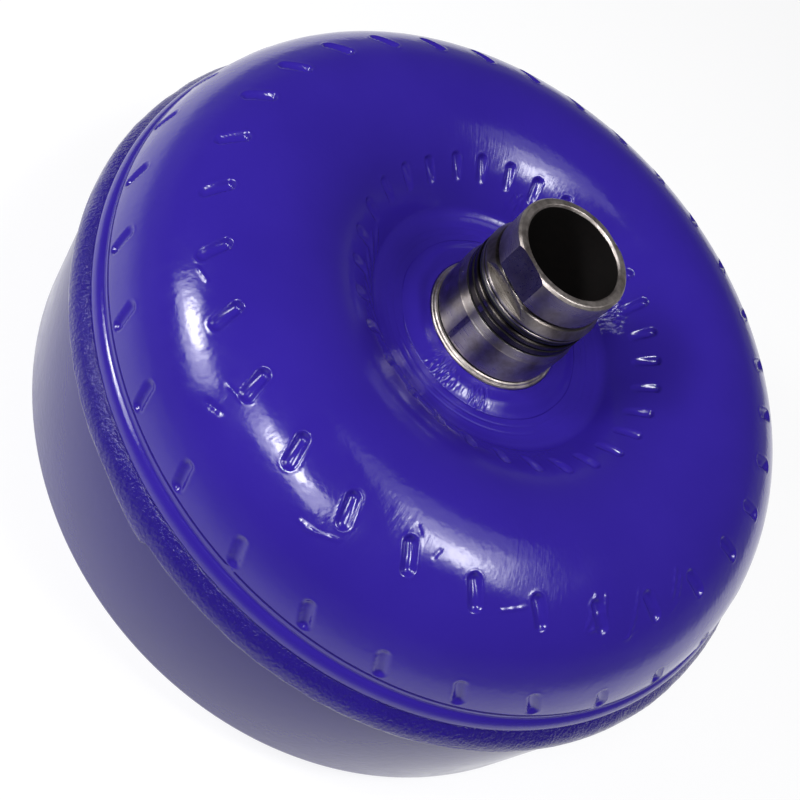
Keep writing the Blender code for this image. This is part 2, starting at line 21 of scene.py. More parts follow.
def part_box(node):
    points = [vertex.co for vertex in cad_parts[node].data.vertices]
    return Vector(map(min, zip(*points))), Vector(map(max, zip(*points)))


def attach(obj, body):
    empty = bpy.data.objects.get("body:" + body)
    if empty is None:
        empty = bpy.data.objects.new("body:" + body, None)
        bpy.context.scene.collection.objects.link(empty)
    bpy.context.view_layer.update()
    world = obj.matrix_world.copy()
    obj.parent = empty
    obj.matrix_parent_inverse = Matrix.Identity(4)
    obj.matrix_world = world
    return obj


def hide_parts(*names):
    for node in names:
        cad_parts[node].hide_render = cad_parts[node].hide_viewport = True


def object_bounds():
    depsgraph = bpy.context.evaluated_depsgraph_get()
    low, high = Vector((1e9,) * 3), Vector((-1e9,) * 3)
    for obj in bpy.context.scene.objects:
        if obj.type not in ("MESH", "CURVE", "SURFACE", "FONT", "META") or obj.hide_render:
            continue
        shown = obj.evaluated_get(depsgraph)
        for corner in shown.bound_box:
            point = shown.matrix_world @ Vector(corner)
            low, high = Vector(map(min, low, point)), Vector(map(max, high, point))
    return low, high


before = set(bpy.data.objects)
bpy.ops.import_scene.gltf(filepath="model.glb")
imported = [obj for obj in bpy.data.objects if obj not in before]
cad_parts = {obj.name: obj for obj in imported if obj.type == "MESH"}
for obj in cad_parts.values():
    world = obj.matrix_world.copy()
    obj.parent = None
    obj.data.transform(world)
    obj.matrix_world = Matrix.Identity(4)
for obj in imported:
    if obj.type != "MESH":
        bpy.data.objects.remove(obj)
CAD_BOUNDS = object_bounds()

MM = 0.001
HOUSING = "housing"             # the body that every finished piece is fixed to
LOG = logging.getLogger("torque_converter")

Point = tuple[float, float]
Outline = list[Point]


# ---------------------------------------------------------------- shader and mesh helpers

def linear(colour: str) -> tuple[float, float, float, float]:
    """Turn an sRGB hex colour into the linear RGBA that a shader socket takes.

    Args:
        colour: six hex digits after a number sign.

    Returns:
        Linear red, green, blue and an alpha of one.
    """
    channels = [int(colour[k:k + 2], 16) / 255 for k in (1, 3, 5)]
    return (*[c / 12.92 if c <= 0.04045 else ((c + 0.055) / 1.055) ** 2.4 for c in channels], 1.0)


def per_metre(millimetres: float) -> float:
    """Return how many pattern cells of a real size fit in a metre."""
    return 1 / (millimetres * MM)


def add_node(tree: bpy.types.NodeTree, kind: str, settings: dict | None = None,
             inputs: dict | None = None) -> bpy.types.Node:
    """Add one shader node.

    Args:
        tree: node tree that it goes into.
        kind: Blender's name of the node type.
        settings: properties of the node itself.
        inputs: socket name or number, with a value or with the output socket that feeds it.

    Returns:
        The new node.
    """
    node = tree.nodes.new(kind)
    for name, value in (settings or {}).items():
        setattr(node, name, value)
    for socket, value in (inputs or {}).items():
        if isinstance(value, bpy.types.NodeSocket):
            tree.links.new(value, node.inputs[socket])
        else:
            node.inputs[socket].default_value = value
    return node


def mesh_from_rings(name: str, rings: Sequence[np.ndarray]) -> bpy.types.Mesh:
    """Skin a closed series of closed rings, whose point counts may differ by a whole factor.

    Args:
        name: name of the mesh.
        rings: arrays of points in millimetres; the last ring joins the first.

    Returns:
        A smooth mesh in metres with its faces pointing out.
    """
    starts = np.cumsum([0] + [len(ring) for ring in rings])
    faces: list[tuple[int, ...]] = []
    for k, ring in enumerate(rings):
        after = (k + 1) % len(rings)
        here, there = int(starts[k]), int(starts[after])
        n, m = len(ring), len(rings[after])
        if n >= m:
            share = n // m
            for j in range(m):
                near = [here + (j * share + i) % n for i in range(share + 1)]
                faces.append((*near, there + (j + 1) % m, there + j))
        else:
            share = m // n
            for j in range(n):
                far = [there + (j * share + i) % m for i in range(share, -1, -1)]
                faces.append((here + j, here + (j + 1) % n, *far))
    points = np.concatenate(rings)
    mesh = bpy.data.meshes.new(name)
    mesh.from_pydata((points * MM).tolist(), [], faces)
    quads = np.array([(f[0], f[1], f[-2], f[-1]) for f in faces])
    a, b, c, d = (points[quads[:, k]] for k in range(4))
    volume = float(np.sum(a * np.cross(b, c)) + np.sum(a * np.cross(c, d)))
    if volume < 0:
        mesh.flip_normals()
    mesh.shade_smooth()
    return mesh


def mesh_from_bmesh(name: str, bm: bmesh.types.BMesh, sharp_deg: float = 38.0) -> bpy.types.Mesh:
    """Turn a bmesh in millimetres into a mesh in metres, smooth but for its sharp edges.

    Args:
        name: name of the mesh.
        bm: the bmesh, which is freed.
        sharp_deg: edges that bend more than this stay sharp.

    Returns:
        The mesh.
    """
    bmesh.ops.remove_doubles(bm, verts=bm.verts, dist=1e-4)
    bmesh.ops.recalc_face_normals(bm, faces=bm.faces)
    bm.transform(Matrix.Scale(MM, 4))
    mesh = bpy.data.meshes.new(name)
    bm.to_mesh(mesh)
    bm.free()
    mesh.shade_smooth()
    mesh.set_sharp_from_angle(angle=math.radians(sharp_deg))
    return mesh


def softened(outline: Outline, radius: float = 0.35, cuts: int = 3) -> Outline:
    """Round every real corner of a closed outline.

    Args:
        outline: (radius, height) points.
        radius: how far from a corner the rounding starts.
        cuts: how many spans each corner gets.

    Returns:
        The outline with its corners rounded.
    """
    rounded: Outline = []
    count = len(outline)
    for k, corner in enumerate(outline):
        here = Vector(corner)
        back = Vector(outline[k - 1]) - here
        ahead = Vector(outline[(k + 1) % count]) - here
        if back.angle(ahead) > math.radians(170) or here.x == 0:
            rounded.append(corner)
            continue
        reach = min(radius, back.length / 2.5, ahead.length / 2.5)
        start, stop = here + back.normalized() * reach, here + ahead.normalized() * reach
        for step in range(cuts + 1):
            t = step / cuts
            point = start * (1 - t) ** 2 + here * 2 * t * (1 - t) + stop * t ** 2
            rounded.append((point.x, point.y))
    return rounded


def turned_mesh(name: str, outline: Outline, steps: int, sharp_deg: float = 38.0) -> bpy.types.Mesh:
    """Spin a closed outline round the axis.

    Args:
        name: name of the mesh.
        outline: (radius, height) points in millimetres.
        steps: facets round the axis.
        sharp_deg: edges that bend more than this stay sharp.

    Returns:
        The mesh.
    """
    bm = bmesh.new()
    ring = [bm.verts.new((radius, 0, height)) for radius, height in outline]
    edges = [bm.edges.new((a, b)) for a, b in zip(ring, ring[1:] + ring[:1])
             if not a.co.x == b.co.x == 0]
    bmesh.ops.spin(bm, geom=ring + edges, cent=(0, 0, 0), axis=(0, 0, 1), dvec=(0, 0, 0),
                   angle=math.tau, steps=steps, use_merge=True, use_duplicate=False)
    return mesh_from_bmesh(name, bm, sharp_deg)


def section_arc(centre: Point, section: float, start_deg: float, stop_deg: float, steps: int) -> Outline:
    """Return points of a circular arc in the section plane, angles from the outward radius."""
    angles = np.radians(np.linspace(start_deg, stop_deg, steps + 1))
    return [(centre[0] + section * math.cos(a), centre[1] + section * math.sin(a)) for a in angles]


def smoothstep(value: np.ndarray | float, low: float, high: float) -> np.ndarray:
    """Rise smoothly from 0 at low to 1 at high."""
    t = np.clip((value - low) / (high - low), 0, 1)
    return t * t * (3 - 2 * t)


def ring_points(radius: np.ndarray, turn: np.ndarray, height: np.ndarray) -> np.ndarray:
    """Return points of one ring from radii, turns in radians and heights."""
    return np.stack([radius * np.cos(turn), radius * np.sin(turn), height + 0 * turn], axis=1)


def shape_with(piece: bpy.types.Object, tool: bpy.types.Mesh, operation: str = "DIFFERENCE") -> None:
    """Cut a piece's mesh with a tool mesh, or join or intersect them, at once.

    Args:
        piece: object whose mesh is changed.
        tool: closed mesh in the same place; it is removed.
        operation: Blender's name of the Boolean.
    """
    helper = bpy.data.objects.new("tool", tool)
    bpy.context.scene.collection.objects.link(helper)
    modifier = piece.modifiers.new("shape", "BOOLEAN")
    modifier.operation = operation
    modifier.solver = "EXACT"
    modifier.object = helper
    apply_modifiers(piece)
    bpy.data.objects.remove(helper)
    bpy.data.meshes.remove(tool)


def apply_modifiers(piece: bpy.types.Object) -> None:
    """Replace a piece's mesh by what its modifiers make of it.

    Args:
        piece: object whose modifiers are used up.
    """
    bpy.context.view_layer.update()
    shaped = piece.evaluated_get(bpy.context.evaluated_depsgraph_get())
    mesh = bpy.data.meshes.new_from_object(shaped)
    old = piece.data
    piece.modifiers.clear()
    piece.data = mesh
    bpy.data.meshes.remove(old)


def bevelled(piece: bpy.types.Object, width: float, limit_deg: float = 32.0, segments: int = 2,
             finish: int = -1) -> None:
    """Break a piece's sharp edges.

    Args:
        piece: object whose mesh is changed.
        width: size of the broken edge in millimetres.
        limit_deg: only edges that bend more than this are broken.
        segments: spans across the broken edge.
        finish: number of the material that the broken edge shows, or -1 for that of its faces.
    """
    modifier = piece.modifiers.new("edge", "BEVEL")
    modifier.width = width * MM
    modifier.segments = segments
    modifier.material = finish
    modifier.limit_method = "ANGLE"
    modifier.angle_limit = math.radians(limit_deg)
    modifier.harden_normals = True
    apply_modifiers(piece)


class Waves:
    """Seam-free unevenness round the axis: a seeded sum of waves with whole counts per turn."""

    def __init__(self, seed: int, low: int, high: int, count: int = 14) -> None:
        """Draw the waves.

        Args:
            seed: seed of the random draw.
            low: fewest waves per turn.
            high: most waves per turn.
            count: how many waves are added up.
        """
        draw = np.random.default_rng(seed)
        self.counts = draw.integers(low, high, count)
        self.phases = draw.uniform(0, math.tau, count)
        self.slants = draw.uniform(-2.2, 2.2, count)

    def at(self, turn: np.ndarray, across: float = 0.0) -> np.ndarray:
        """Add the waves up.

        Args:
            turn: turns in radians.
            across: place across the band in millimetres.

        Returns:
            Heights of about -1 to 1.
        """
        total = sum(np.sin(n * turn + phase + slant * across)
                    for n, phase, slant in zip(self.counts, self.phases, self.slants))
        return total / math.sqrt(len(self.counts) * 1.5)


# ---------------------------------------------------------------- finishes

@dataclass(frozen=True)
class Finish:
    """A surface finish: a Principled shader with patterns at their real size."""

    name: str
    slot: str

    def material(self) -> bpy.types.Material:
        """Make the finish's material on first use.

        Returns:
            The material.
        """
        found = bpy.data.materials.get(self.name)
        if found:
            return found
        material = bpy.data.materials.new(self.name)
        material.use_nodes = True
        tree = material.node_tree
        tree.nodes.clear()
        shader = add_node(tree, "ShaderNodeBsdfPrincipled")
        add_node(tree, "ShaderNodeOutputMaterial", inputs={"Surface": shader.outputs["BSDF"]})
        place = add_node(tree, "ShaderNodeTexCoord").outputs["Object"]
        self.dress(tree, shader, place)
        return material

    def dress(self, tree: bpy.types.NodeTree, shader: bpy.types.Node,
              place: bpy.types.NodeSocket) -> None:
        """Set and link the shader's sockets.

        Args:
            tree: the material's node tree.
            shader: its Principled shader.
            place: socket with the point in metres in the converter's frame.
        """
        raise NotImplementedError


@dataclass(frozen=True)
class GlossEnamel(Finish):
    """Air-dried gloss enamel, sprayed thickly over pressed and welded steel.

    The eye sees one deep blue-violet, mirror-like edges, a slight orange peel that frays the
    lights' reflections, faint press marks running along the section, and dust under the skin.
    """

    colour: str = "#36249E"
    shade: str = "#2C1C8C"
    roughness: tuple[float, float] = (0.11, 0.2)
    drift_mm: float = 45.0          # patches of slightly thicker colour
    haze_mm: float = 9.0            # patches of duller gloss
    peel_mm: float = 2.2            # spacing of the orange peel
    peel_height_mm: float = 0.045   # finer and lower in life; drawn as coarse as it shows
    press_rays: float = 85.0        # press marks per radian, each drawn wide enough to show
    press_length_mm: float = 11.0
    press_height_mm: float = 0.05   # lower in life, as the orange peel is
    press_patch_mm: float = 30.0    # patches in which the press marks show
    wave_mm: float = 6.0            # slow waves that the press leaves in the sheet
    dust_mm: float = 9.0            # distance between specks of dust
    dust_height_mm: float = 0.09
    spatter_mm: float = 1.5
    spatter_height_mm: float = 0.0  # beads of weld spatter under the paint
    ior: float = 1.5

    def dress(self, tree: bpy.types.NodeTree, shader: bpy.types.Node,
              place: bpy.types.NodeSocket) -> None:
        """Lay colour, gloss and the paint's relief.

        Args:
            tree: the material's node tree.
            shader: its Principled shader.
            place: socket with the point in metres in the converter's frame.
        """
        drift = add_node(tree, "ShaderNodeTexNoise", inputs={
            "Vector": place, "Scale": per_metre(self.drift_mm), "Detail": 3.0})
        hue = add_node(tree, "ShaderNodeMix", {"data_type": "RGBA"},
                       {0: drift.outputs["Fac"], 6: linear(self.colour), 7: linear(self.shade)})
        haze = add_node(tree, "ShaderNodeTexNoise", inputs={
            "Vector": place, "Scale": per_metre(self.haze_mm), "Detail": 4.0})
        gloss = add_node(tree, "ShaderNodeMapRange", inputs={
            "Value": haze.outputs["Fac"], "From Min": 0.3, "From Max": 0.75,
            "To Min": self.roughness[0], "To Max": self.roughness[1]})
        peel = add_node(tree, "ShaderNodeTexNoise",
                        inputs={"Vector": place, "Scale": per_metre(self.peel_mm), "Detail": 1.5})
        relief = add_node(tree, "ShaderNodeBump", inputs={
            "Height": peel.outputs["Fac"], "Distance": self.peel_height_mm * MM, "Strength": 1.0})
        relief = self.press_marks(tree, place, relief)
        relief = self.dust(tree, place, relief)
        if self.spatter_height_mm:
            bead = add_node(tree, "ShaderNodeTexNoise", inputs={
                "Vector": place, "Scale": per_metre(self.spatter_mm), "Detail": 3.0, "Roughness": 0.6})
            relief = add_node(tree, "ShaderNodeBump", inputs={
                "Height": bead.outputs["Fac"], "Distance": self.spatter_height_mm * MM,
                "Strength": 1.0, "Normal": relief.outputs["Normal"]})
        for socket, value in (("Base Color", hue.outputs[2]), ("Roughness", gloss.outputs["Result"]),
                              ("Normal", relief.outputs["Normal"])):
            tree.links.new(value, shader.inputs[socket])
        shader.inputs["IOR"].default_value = self.ior

    def press_marks(self, tree: bpy.types.NodeTree, place: bpy.types.NodeSocket,
                    under: bpy.types.Node) -> bpy.types.Node:
        """Add marks that run from hub to rim, by stretching noise along the radius.

        Args:
            tree: the material's node tree.
            place: socket with the point in metres.
            under: bump node that this one lies on.

        Returns:
            The new bump node.
        """
        flat = add_node(tree, "ShaderNodeVectorMath", {"operation": "MULTIPLY"}, {0: place, 1: (1, 1, 0)})
        ray = add_node(tree, "ShaderNodeVectorMath", {"operation": "NORMALIZE"}, {0: flat.outputs[0]})
        fine = add_node(tree, "ShaderNodeVectorMath", {"operation": "SCALE"},
                        {0: ray.outputs[0], "Scale": self.press_rays})
        along = add_node(tree, "ShaderNodeVectorMath", {"operation": "SCALE"},
                         {0: place, "Scale": per_metre(self.press_length_mm)})
        lines = add_node(tree, "ShaderNodeVectorMath", {"operation": "ADD"},
                         {0: fine.outputs[0], 1: along.outputs[0]})
        marks = add_node(tree, "ShaderNodeTexNoise",
                         inputs={"Vector": lines.outputs[0], "Scale": 1.0, "Detail": 3.0})
        wave = add_node(tree, "ShaderNodeTexNoise",
                        inputs={"Vector": place, "Scale": per_metre(self.wave_mm), "Detail": 2.0})
        under = add_node(tree, "ShaderNodeBump", inputs={
            "Height": wave.outputs["Fac"], "Distance": self.press_height_mm * 1.5 * MM,
            "Strength": 1.0, "Normal": under.outputs["Normal"]})
        patch = add_node(tree, "ShaderNodeTexNoise",
                         inputs={"Vector": place, "Scale": per_metre(self.press_patch_mm)})
        worn = add_node(tree, "ShaderNodeMapRange", inputs={
            "Value": patch.outputs["Fac"], "From Min": 0.42, "From Max": 0.62})
        shown = add_node(tree, "ShaderNodeMath", {"operation": "MULTIPLY"},
                         {0: marks.outputs["Fac"], 1: worn.outputs["Result"]})
        return add_node(tree, "ShaderNodeBump", inputs={
            "Height": shown.outputs["Value"], "Distance": self.press_height_mm * MM,
            "Strength": 1.0, "Normal": under.outputs["Normal"]})

    def dust(self, tree: bpy.types.NodeTree, place: bpy.types.NodeSocket,
             under: bpy.types.Node) -> bpy.types.Node:
        """Add dust specks, half a millimetre across.

        Args:
            tree: the material's node tree.
            place: socket with the point in metres.
            under: bump node that this one lies on.

        Returns:
            The new bump node.
        """
        cells = add_node(tree, "ShaderNodeTexVoronoi",
                         inputs={"Vector": place, "Scale": per_metre(self.dust_mm)})
        speck = add_node(tree, "ShaderNodeMapRange", {"interpolation_type": "SMOOTHSTEP"}, {
            "Value": cells.outputs["Distance"], "From Min": 0.03, "From Max": 0.0})
        return add_node(tree, "ShaderNodeBump", inputs={
            "Height": speck.outputs["Result"], "Distance": self.dust_height_mm * MM,
            "Strength": 1.0, "Normal": under.outputs["Normal"]})


@dataclass(frozen=True)
class TurnedSteel(Finish):
    """Medium-carbon steel turned on a lathe and ground, under a film of oil.

    The eye sees grey metal with fine rings round the axis, dark oily patches, a warm stain in
    places, and reflections that are drawn out along the axis.
    """

    colour: str = "#BAB3AE"
    stain: str = "#5A4F4B"
    roughness: tuple[float, float] = (0.26, 0.38)
    stain_mm: float = 13.0          # size of the oily patches
    draw: float = 1.0               # how far the tool marks draw reflections out
    ring_mm: float = 0.42           # tool marks are finer; drawn as coarse as they show
    ring_height_mm: float = 0.004

    def dress(self, tree: bpy.types.NodeTree, shader: bpy.types.Node,
              place: bpy.types.NodeSocket) -> None:
        """Lay lathe rings, stain and grain.

        Args:
            tree: the material's node tree.
            shader: its Principled shader.
            place: socket with the point in metres in the converter's frame.
        """
        flat = add_node(tree, "ShaderNodeVectorMath", {"operation": "MULTIPLY"}, {0: place, 1: (1, 1, 0)})
        radius = add_node(tree, "ShaderNodeVectorMath", {"operation": "LENGTH"}, {0: flat.outputs[0]})
        split = add_node(tree, "ShaderNodeSeparateXYZ", inputs={0: place})
        path = add_node(tree, "ShaderNodeCombineXYZ",
                        inputs={"X": radius.outputs["Value"], "Y": split.outputs["Z"]})
        rings = add_node(tree, "ShaderNodeTexNoise", inputs={
            "Vector": path.outputs[0], "Scale": per_metre(self.ring_mm), "Detail": 2.0})
        cloud = add_node(tree, "ShaderNodeTexNoise",
                         inputs={"Vector": place, "Scale": per_metre(self.stain_mm), "Detail": 5.0,
                                 "Roughness": 0.6})
        dirty = add_node(tree, "ShaderNodeMapRange", inputs={
            "Value": cloud.outputs["Fac"], "From Min": 0.45, "From Max": 0.78})
        hue = add_node(tree, "ShaderNodeMix", {"data_type": "RGBA"},
                       {0: dirty.outputs["Result"], 6: linear(self.colour), 7: linear(self.stain)})
        mixed = add_node(tree, "ShaderNodeMath", {"operation": "ADD"},
                         {0: rings.outputs["Fac"], 1: dirty.outputs["Result"]})
        gloss = add_node(tree, "ShaderNodeMapRange", inputs={
            "Value": mixed.outputs["Value"], "From Min": 0.35, "From Max": 1.2,
            "To Min": self.roughness[0], "To Max": self.roughness[1]})
        relief = add_node(tree, "ShaderNodeBump", inputs={
            "Height": rings.outputs["Fac"], "Distance": self.ring_height_mm * MM, "Strength": 1.0})
        lay = add_node(tree, "ShaderNodeTangent", {"direction_type": "RADIAL", "axis": "Z"})
        for socket, value in (("Base Color", hue.outputs[2]), ("Roughness", gloss.outputs["Result"]),
                              ("Normal", relief.outputs["Normal"]), ("Tangent", lay.outputs[0])):
            tree.links.new(value, shader.inputs[socket])
        shader.inputs["Metallic"].default_value = 1.0
        shader.inputs["Anisotropic"].default_value = self.draw
        shader.inputs["Anisotropic Rotation"].default_value = 0.25


@dataclass(frozen=True)
class GrainedMetal(Finish):
    """Metal whose surface is an even grain: pressed, blasted, tempered or die-cast.

    The eye sees a dull sheen that breaks up at the size of the grain, with cloudy patches of oil
    or scale.
    """

    colour: str = "#8B8C8F"
    shade: str = "#5C5C60"
    roughness: tuple[float, float] = (0.3, 0.5)
    grain_mm: float = 0.8
    grain_height_mm: float = 0.01
    patch_mm: float = 18.0

    def dress(self, tree: bpy.types.NodeTree, shader: bpy.types.Node,
              place: bpy.types.NodeSocket) -> None:
        """Lay grain and patches.

        Args:
            tree: the material's node tree.
            shader: its Principled shader.
            place: socket with the point in metres in the converter's frame.
        """
        grain = add_node(tree, "ShaderNodeTexNoise", inputs={
            "Vector": place, "Scale": per_metre(self.grain_mm), "Detail": 4.0})
        patch = add_node(tree, "ShaderNodeTexNoise", inputs={
            "Vector": place, "Scale": per_metre(self.patch_mm), "Detail": 5.0})
        cloud = add_node(tree, "ShaderNodeMapRange", inputs={
            "Value": patch.outputs["Fac"], "From Min": 0.35, "From Max": 0.7})
        hue = add_node(tree, "ShaderNodeMix", {"data_type": "RGBA"},
                       {0: cloud.outputs["Result"], 6: linear(self.colour), 7: linear(self.shade)})
        gloss = add_node(tree, "ShaderNodeMapRange", inputs={
            "Value": grain.outputs["Fac"], "From Min": 0.3, "From Max": 0.7,
            "To Min": self.roughness[0], "To Max": self.roughness[1]})
        relief = add_node(tree, "ShaderNodeBump", inputs={
            "Height": grain.outputs["Fac"], "Distance": self.grain_height_mm * MM, "Strength": 1.0})
        for socket, value in (("Base Color", hue.outputs[2]), ("Roughness", gloss.outputs["Result"]),
                              ("Normal", relief.outputs["Normal"])):
            tree.links.new(value, shader.inputs[socket])
        shader.inputs["Metallic"].default_value = 1.0


@dataclass(frozen=True)
class ShadeBlack(Finish):
    """Painted shade: flat black laid on the hub's bore and grooves, where the inside lies dark.

    The eye sees next to nothing: a matt black that hardly answers the light.
    """

    colour: str = "#0B0A0B"
    shade: str = "#171312"
    mottle_mm: float = 2.5
    mottle_height_mm: float = 0.04

    def dress(self, tree: bpy.types.NodeTree, shader: bpy.types.Node,
              place: bpy.types.NodeSocket) -> None:
        """Lay the painted black.

        Args:
            tree: the material's node tree.
            shader: its Principled shader.
            place: socket with the point in metres in the converter's frame.
        """
        mottle = add_node(tree, "ShaderNodeTexNoise", inputs={
            "Vector": place, "Scale": per_metre(self.mottle_mm), "Detail": 5.0})
        hue = add_node(tree, "ShaderNodeMix", {"data_type": "RGBA"},
                       {0: mottle.outputs["Fac"], 6: linear(self.colour), 7: linear(self.shade)})
        relief = add_node(tree, "ShaderNodeBump", inputs={
            "Height": mottle.outputs["Fac"], "Distance": self.mottle_height_mm * MM, "Strength": 1.0})
        tree.links.new(hue.outputs[2], shader.inputs["Base Color"])
        tree.links.new(relief.outputs["Normal"], shader.inputs["Normal"])
        shader.inputs["Roughness"].default_value = 0.62
        shader.inputs["Specular IOR Level"].default_value = 0.25


@dataclass(frozen=True)
class FrictionPaper(Finish):
    """Resin-soaked cellulose friction paper, hot-pressed onto the piston.

    The eye sees a matt brown felt of short fibres with darker resin between them.
    """

    colour: str = "#7A5B40"
    shade: str = "#463325"
    fibre_mm: float = 0.7
    fibre_height_mm: float = 0.06

    def dress(self, tree: bpy.types.NodeTree, shader: bpy.types.Node,
              place: bpy.types.NodeSocket) -> None:
        """Lay the fibres.

        Args:
            tree: the material's node tree.
            shader: its Principled shader.
            place: socket with the point in metres in the converter's frame.
        """
        fibres = add_node(tree, "ShaderNodeTexNoise", inputs={
            "Vector": place, "Scale": per_metre(self.fibre_mm), "Detail": 4.0, "Distortion": 2.5})
        hue = add_node(tree, "ShaderNodeMix", {"data_type": "RGBA"},
                       {0: fibres.outputs["Fac"], 6: linear(self.shade), 7: linear(self.colour)})
        relief = add_node(tree, "ShaderNodeBump", inputs={
            "Height": fibres.outputs["Fac"], "Distance": self.fibre_height_mm * MM, "Strength": 1.0})
        tree.links.new(hue.outputs[2], shader.inputs["Base Color"])
        tree.links.new(relief.outputs["Normal"], shader.inputs["Normal"])
        shader.inputs["Roughness"].default_value = 0.9


@dataclass(frozen=True)
class NitrileRubber(Finish):
    """Moulded black nitrile rubber, wetted with oil.

    The eye sees black with a soft sheen along the crest of the ring.
    """

    colour: str = "#0D0D0E"
    skin_mm: float = 0.5
    skin_height_mm: float = 0.01

    def dress(self, tree: bpy.types.NodeTree, shader: bpy.types.Node,
              place: bpy.types.NodeSocket) -> None:
        """Lay the moulded skin.

        Args:
            tree: the material's node tree.
            shader: its Principled shader.
            place: socket with the point in metres in the converter's frame.
        """
        skin = add_node(tree, "ShaderNodeTexNoise", inputs={
            "Vector": place, "Scale": per_metre(self.skin_mm), "Detail": 2.0})
        gloss = add_node(tree, "ShaderNodeMapRange", inputs={
            "Value": skin.outputs["Fac"], "To Min": 0.28, "To Max": 0.5})
        relief = add_node(tree, "ShaderNodeBump", inputs={
            "Height": skin.outputs["Fac"], "Distance": self.skin_height_mm * MM, "Strength": 1.0})
        tree.links.new(gloss.outputs["Result"], shader.inputs["Roughness"])
        tree.links.new(relief.outputs["Normal"], shader.inputs["Normal"])
        shader.inputs["Base Color"].default_value = linear(self.colour)
        shader.inputs["IOR"].default_value = 1.52


@dataclass(frozen=True)
class TableWithLightPool(Finish):
    """Opal acrylic table top that glows: even white round the converter, fading further out as a painted
    pool of light.

    The eye sees an even white with only the faintest contact shadow.
    """

    colour: str = "#8A8A8C"
    shade: str = "#868688"
    grain_mm: float = 400.0         # slow change of tone across the sheet
    glow: float = 0.8
    middle: Point = (0.0, 0.25)     # metres; centre of the painted pool of light
    pool_fade_span: Point = (0.48, 0.9)        # metres from there, between which the glow fades
    far: float = 0.24               # share of the glow that is left beyond

    def dress(self, tree: bpy.types.NodeTree, shader: bpy.types.Node,
              place: bpy.types.NodeSocket) -> None:
        """Lay the opal sheet.

        Args:
            tree: the material's node tree.
            shader: its Principled shader.
            place: socket with the point in metres in the converter's frame.
        """
        grain = add_node(tree, "ShaderNodeTexNoise", inputs={
            "Vector": place, "Scale": per_metre(self.grain_mm), "Detail": 1.0})
        hue = add_node(tree, "ShaderNodeMix", {"data_type": "RGBA"},
                       {0: grain.outputs["Fac"], 6: linear(self.colour), 7: linear(self.shade)})
        tree.links.new(hue.outputs[2], shader.inputs["Base Color"])
        shader.inputs["Roughness"].default_value = 0.8
        shader.inputs["Specular IOR Level"].default_value = 0.1
        shader.inputs["Emission Color"].default_value = linear("#FFFFFF")
        reach = add_node(tree, "ShaderNodeVectorMath", {"operation": "DISTANCE"},
                         {0: place, 1: (*self.middle, 0.0)})
        # painted pool of light: the glow fades with distance from the pool's centre
        fade = add_node(tree, "ShaderNodeMapRange", {"interpolation_type": "SMOOTHSTEP"}, {
            "Value": reach.outputs["Value"], "From Min": self.pool_fade_span[0], "From Max": self.pool_fade_span[1],
            "To Min": self.glow, "To Max": self.glow * self.far})
        tree.links.new(fade.outputs["Result"], shader.inputs["Emission Strength"])


class Coat(Enum):
    """The finishes that this converter's pieces have."""

    SHELL = GlossEnamel("Enamel_Blue_Pressed", "blue_paint")
    # painted shade: the cover's enamel is a darker copy of the shell's, standing in for the lesser light on
    # its wall
    COVER = GlossEnamel("Enamel_Blue_Cover_Painted_Shade", "blue_paint", colour="#271A76", shade="#201668",
                        press_height_mm=0.012, ior=1.38)
    # painted shade: the welds' enamel is a darker copy of the shell's, standing in for the shade on the
    # beads
    BEAD = GlossEnamel("Enamel_Blue_Weld_Painted_Shade", "blue_paint", colour="#2B1C8A", shade="#21166C",
                       roughness=(0.05, 0.12), press_height_mm=0.0, spatter_height_mm=0.5, ior=1.36)
    TURNED = TurnedSteel("Steel_Turned", "machined_steel")
    # painted highlight: bright pale steel on the hub's broken edges, standing in for light catching them
    EDGE = GrainedMetal("Steel_Edge_Painted_Highlight", "machined_steel", colour="#F0ECE8", shade="#C4BEB9",
                        roughness=(0.55, 0.75), grain_mm=0.4, grain_height_mm=0.002)
    FACED = GrainedMetal("Steel_Faced", "machined_steel", colour="#D8CFCA", shade="#857C78",
                         roughness=(0.34, 0.5), grain_mm=0.9, grain_height_mm=0.006, patch_mm=5.0)
    OILY = TurnedSteel("Steel_Turned_Oily", "machined_steel", colour="#57524F", stain="#2A2523")
    # painted shade: flat black for the hub's bore and grooves
    SHADE_BLACK = ShadeBlack("Steel_Painted_Shade_Black", "machined_steel")
    MILLED = GrainedMetal("Steel_Milled", "machined_steel", colour="#A19E9B", shade="#6C6663",
                          roughness=(0.24, 0.4), grain_mm=0.5, grain_height_mm=0.004)
    PRESSED = GrainedMetal("Steel_Pressed", "stamped_steel")
    GROUND = TurnedSteel("Steel_Ground", "bearing_steel", colour="#C9C8C8", stain="#9B9898",
                         roughness=(0.16, 0.26), draw=0.7, ring_height_mm=0.001)
    SPRING = GrainedMetal("Steel_Oil_Tempered", "spring_steel", colour="#5B564F", shade="#3A3836",
                          roughness=(0.28, 0.45), grain_mm=0.4, grain_height_mm=0.003)
    CAST = GrainedMetal("Aluminium_Die_Cast", "cast_aluminium", colour="#BFC0C0", shade="#9FA0A1",
                        roughness=(0.38, 0.55), grain_mm=0.6, grain_height_mm=0.014)
    PAPER = FrictionPaper("Friction_Paper", "friction_paper")
    RUBBER = NitrileRubber("Rubber_Nitrile", "seal_rubber")
    TABLE = TableWithLightPool("Acrylic_Opal", "")


# ---------------------------------------------------------------- pieces

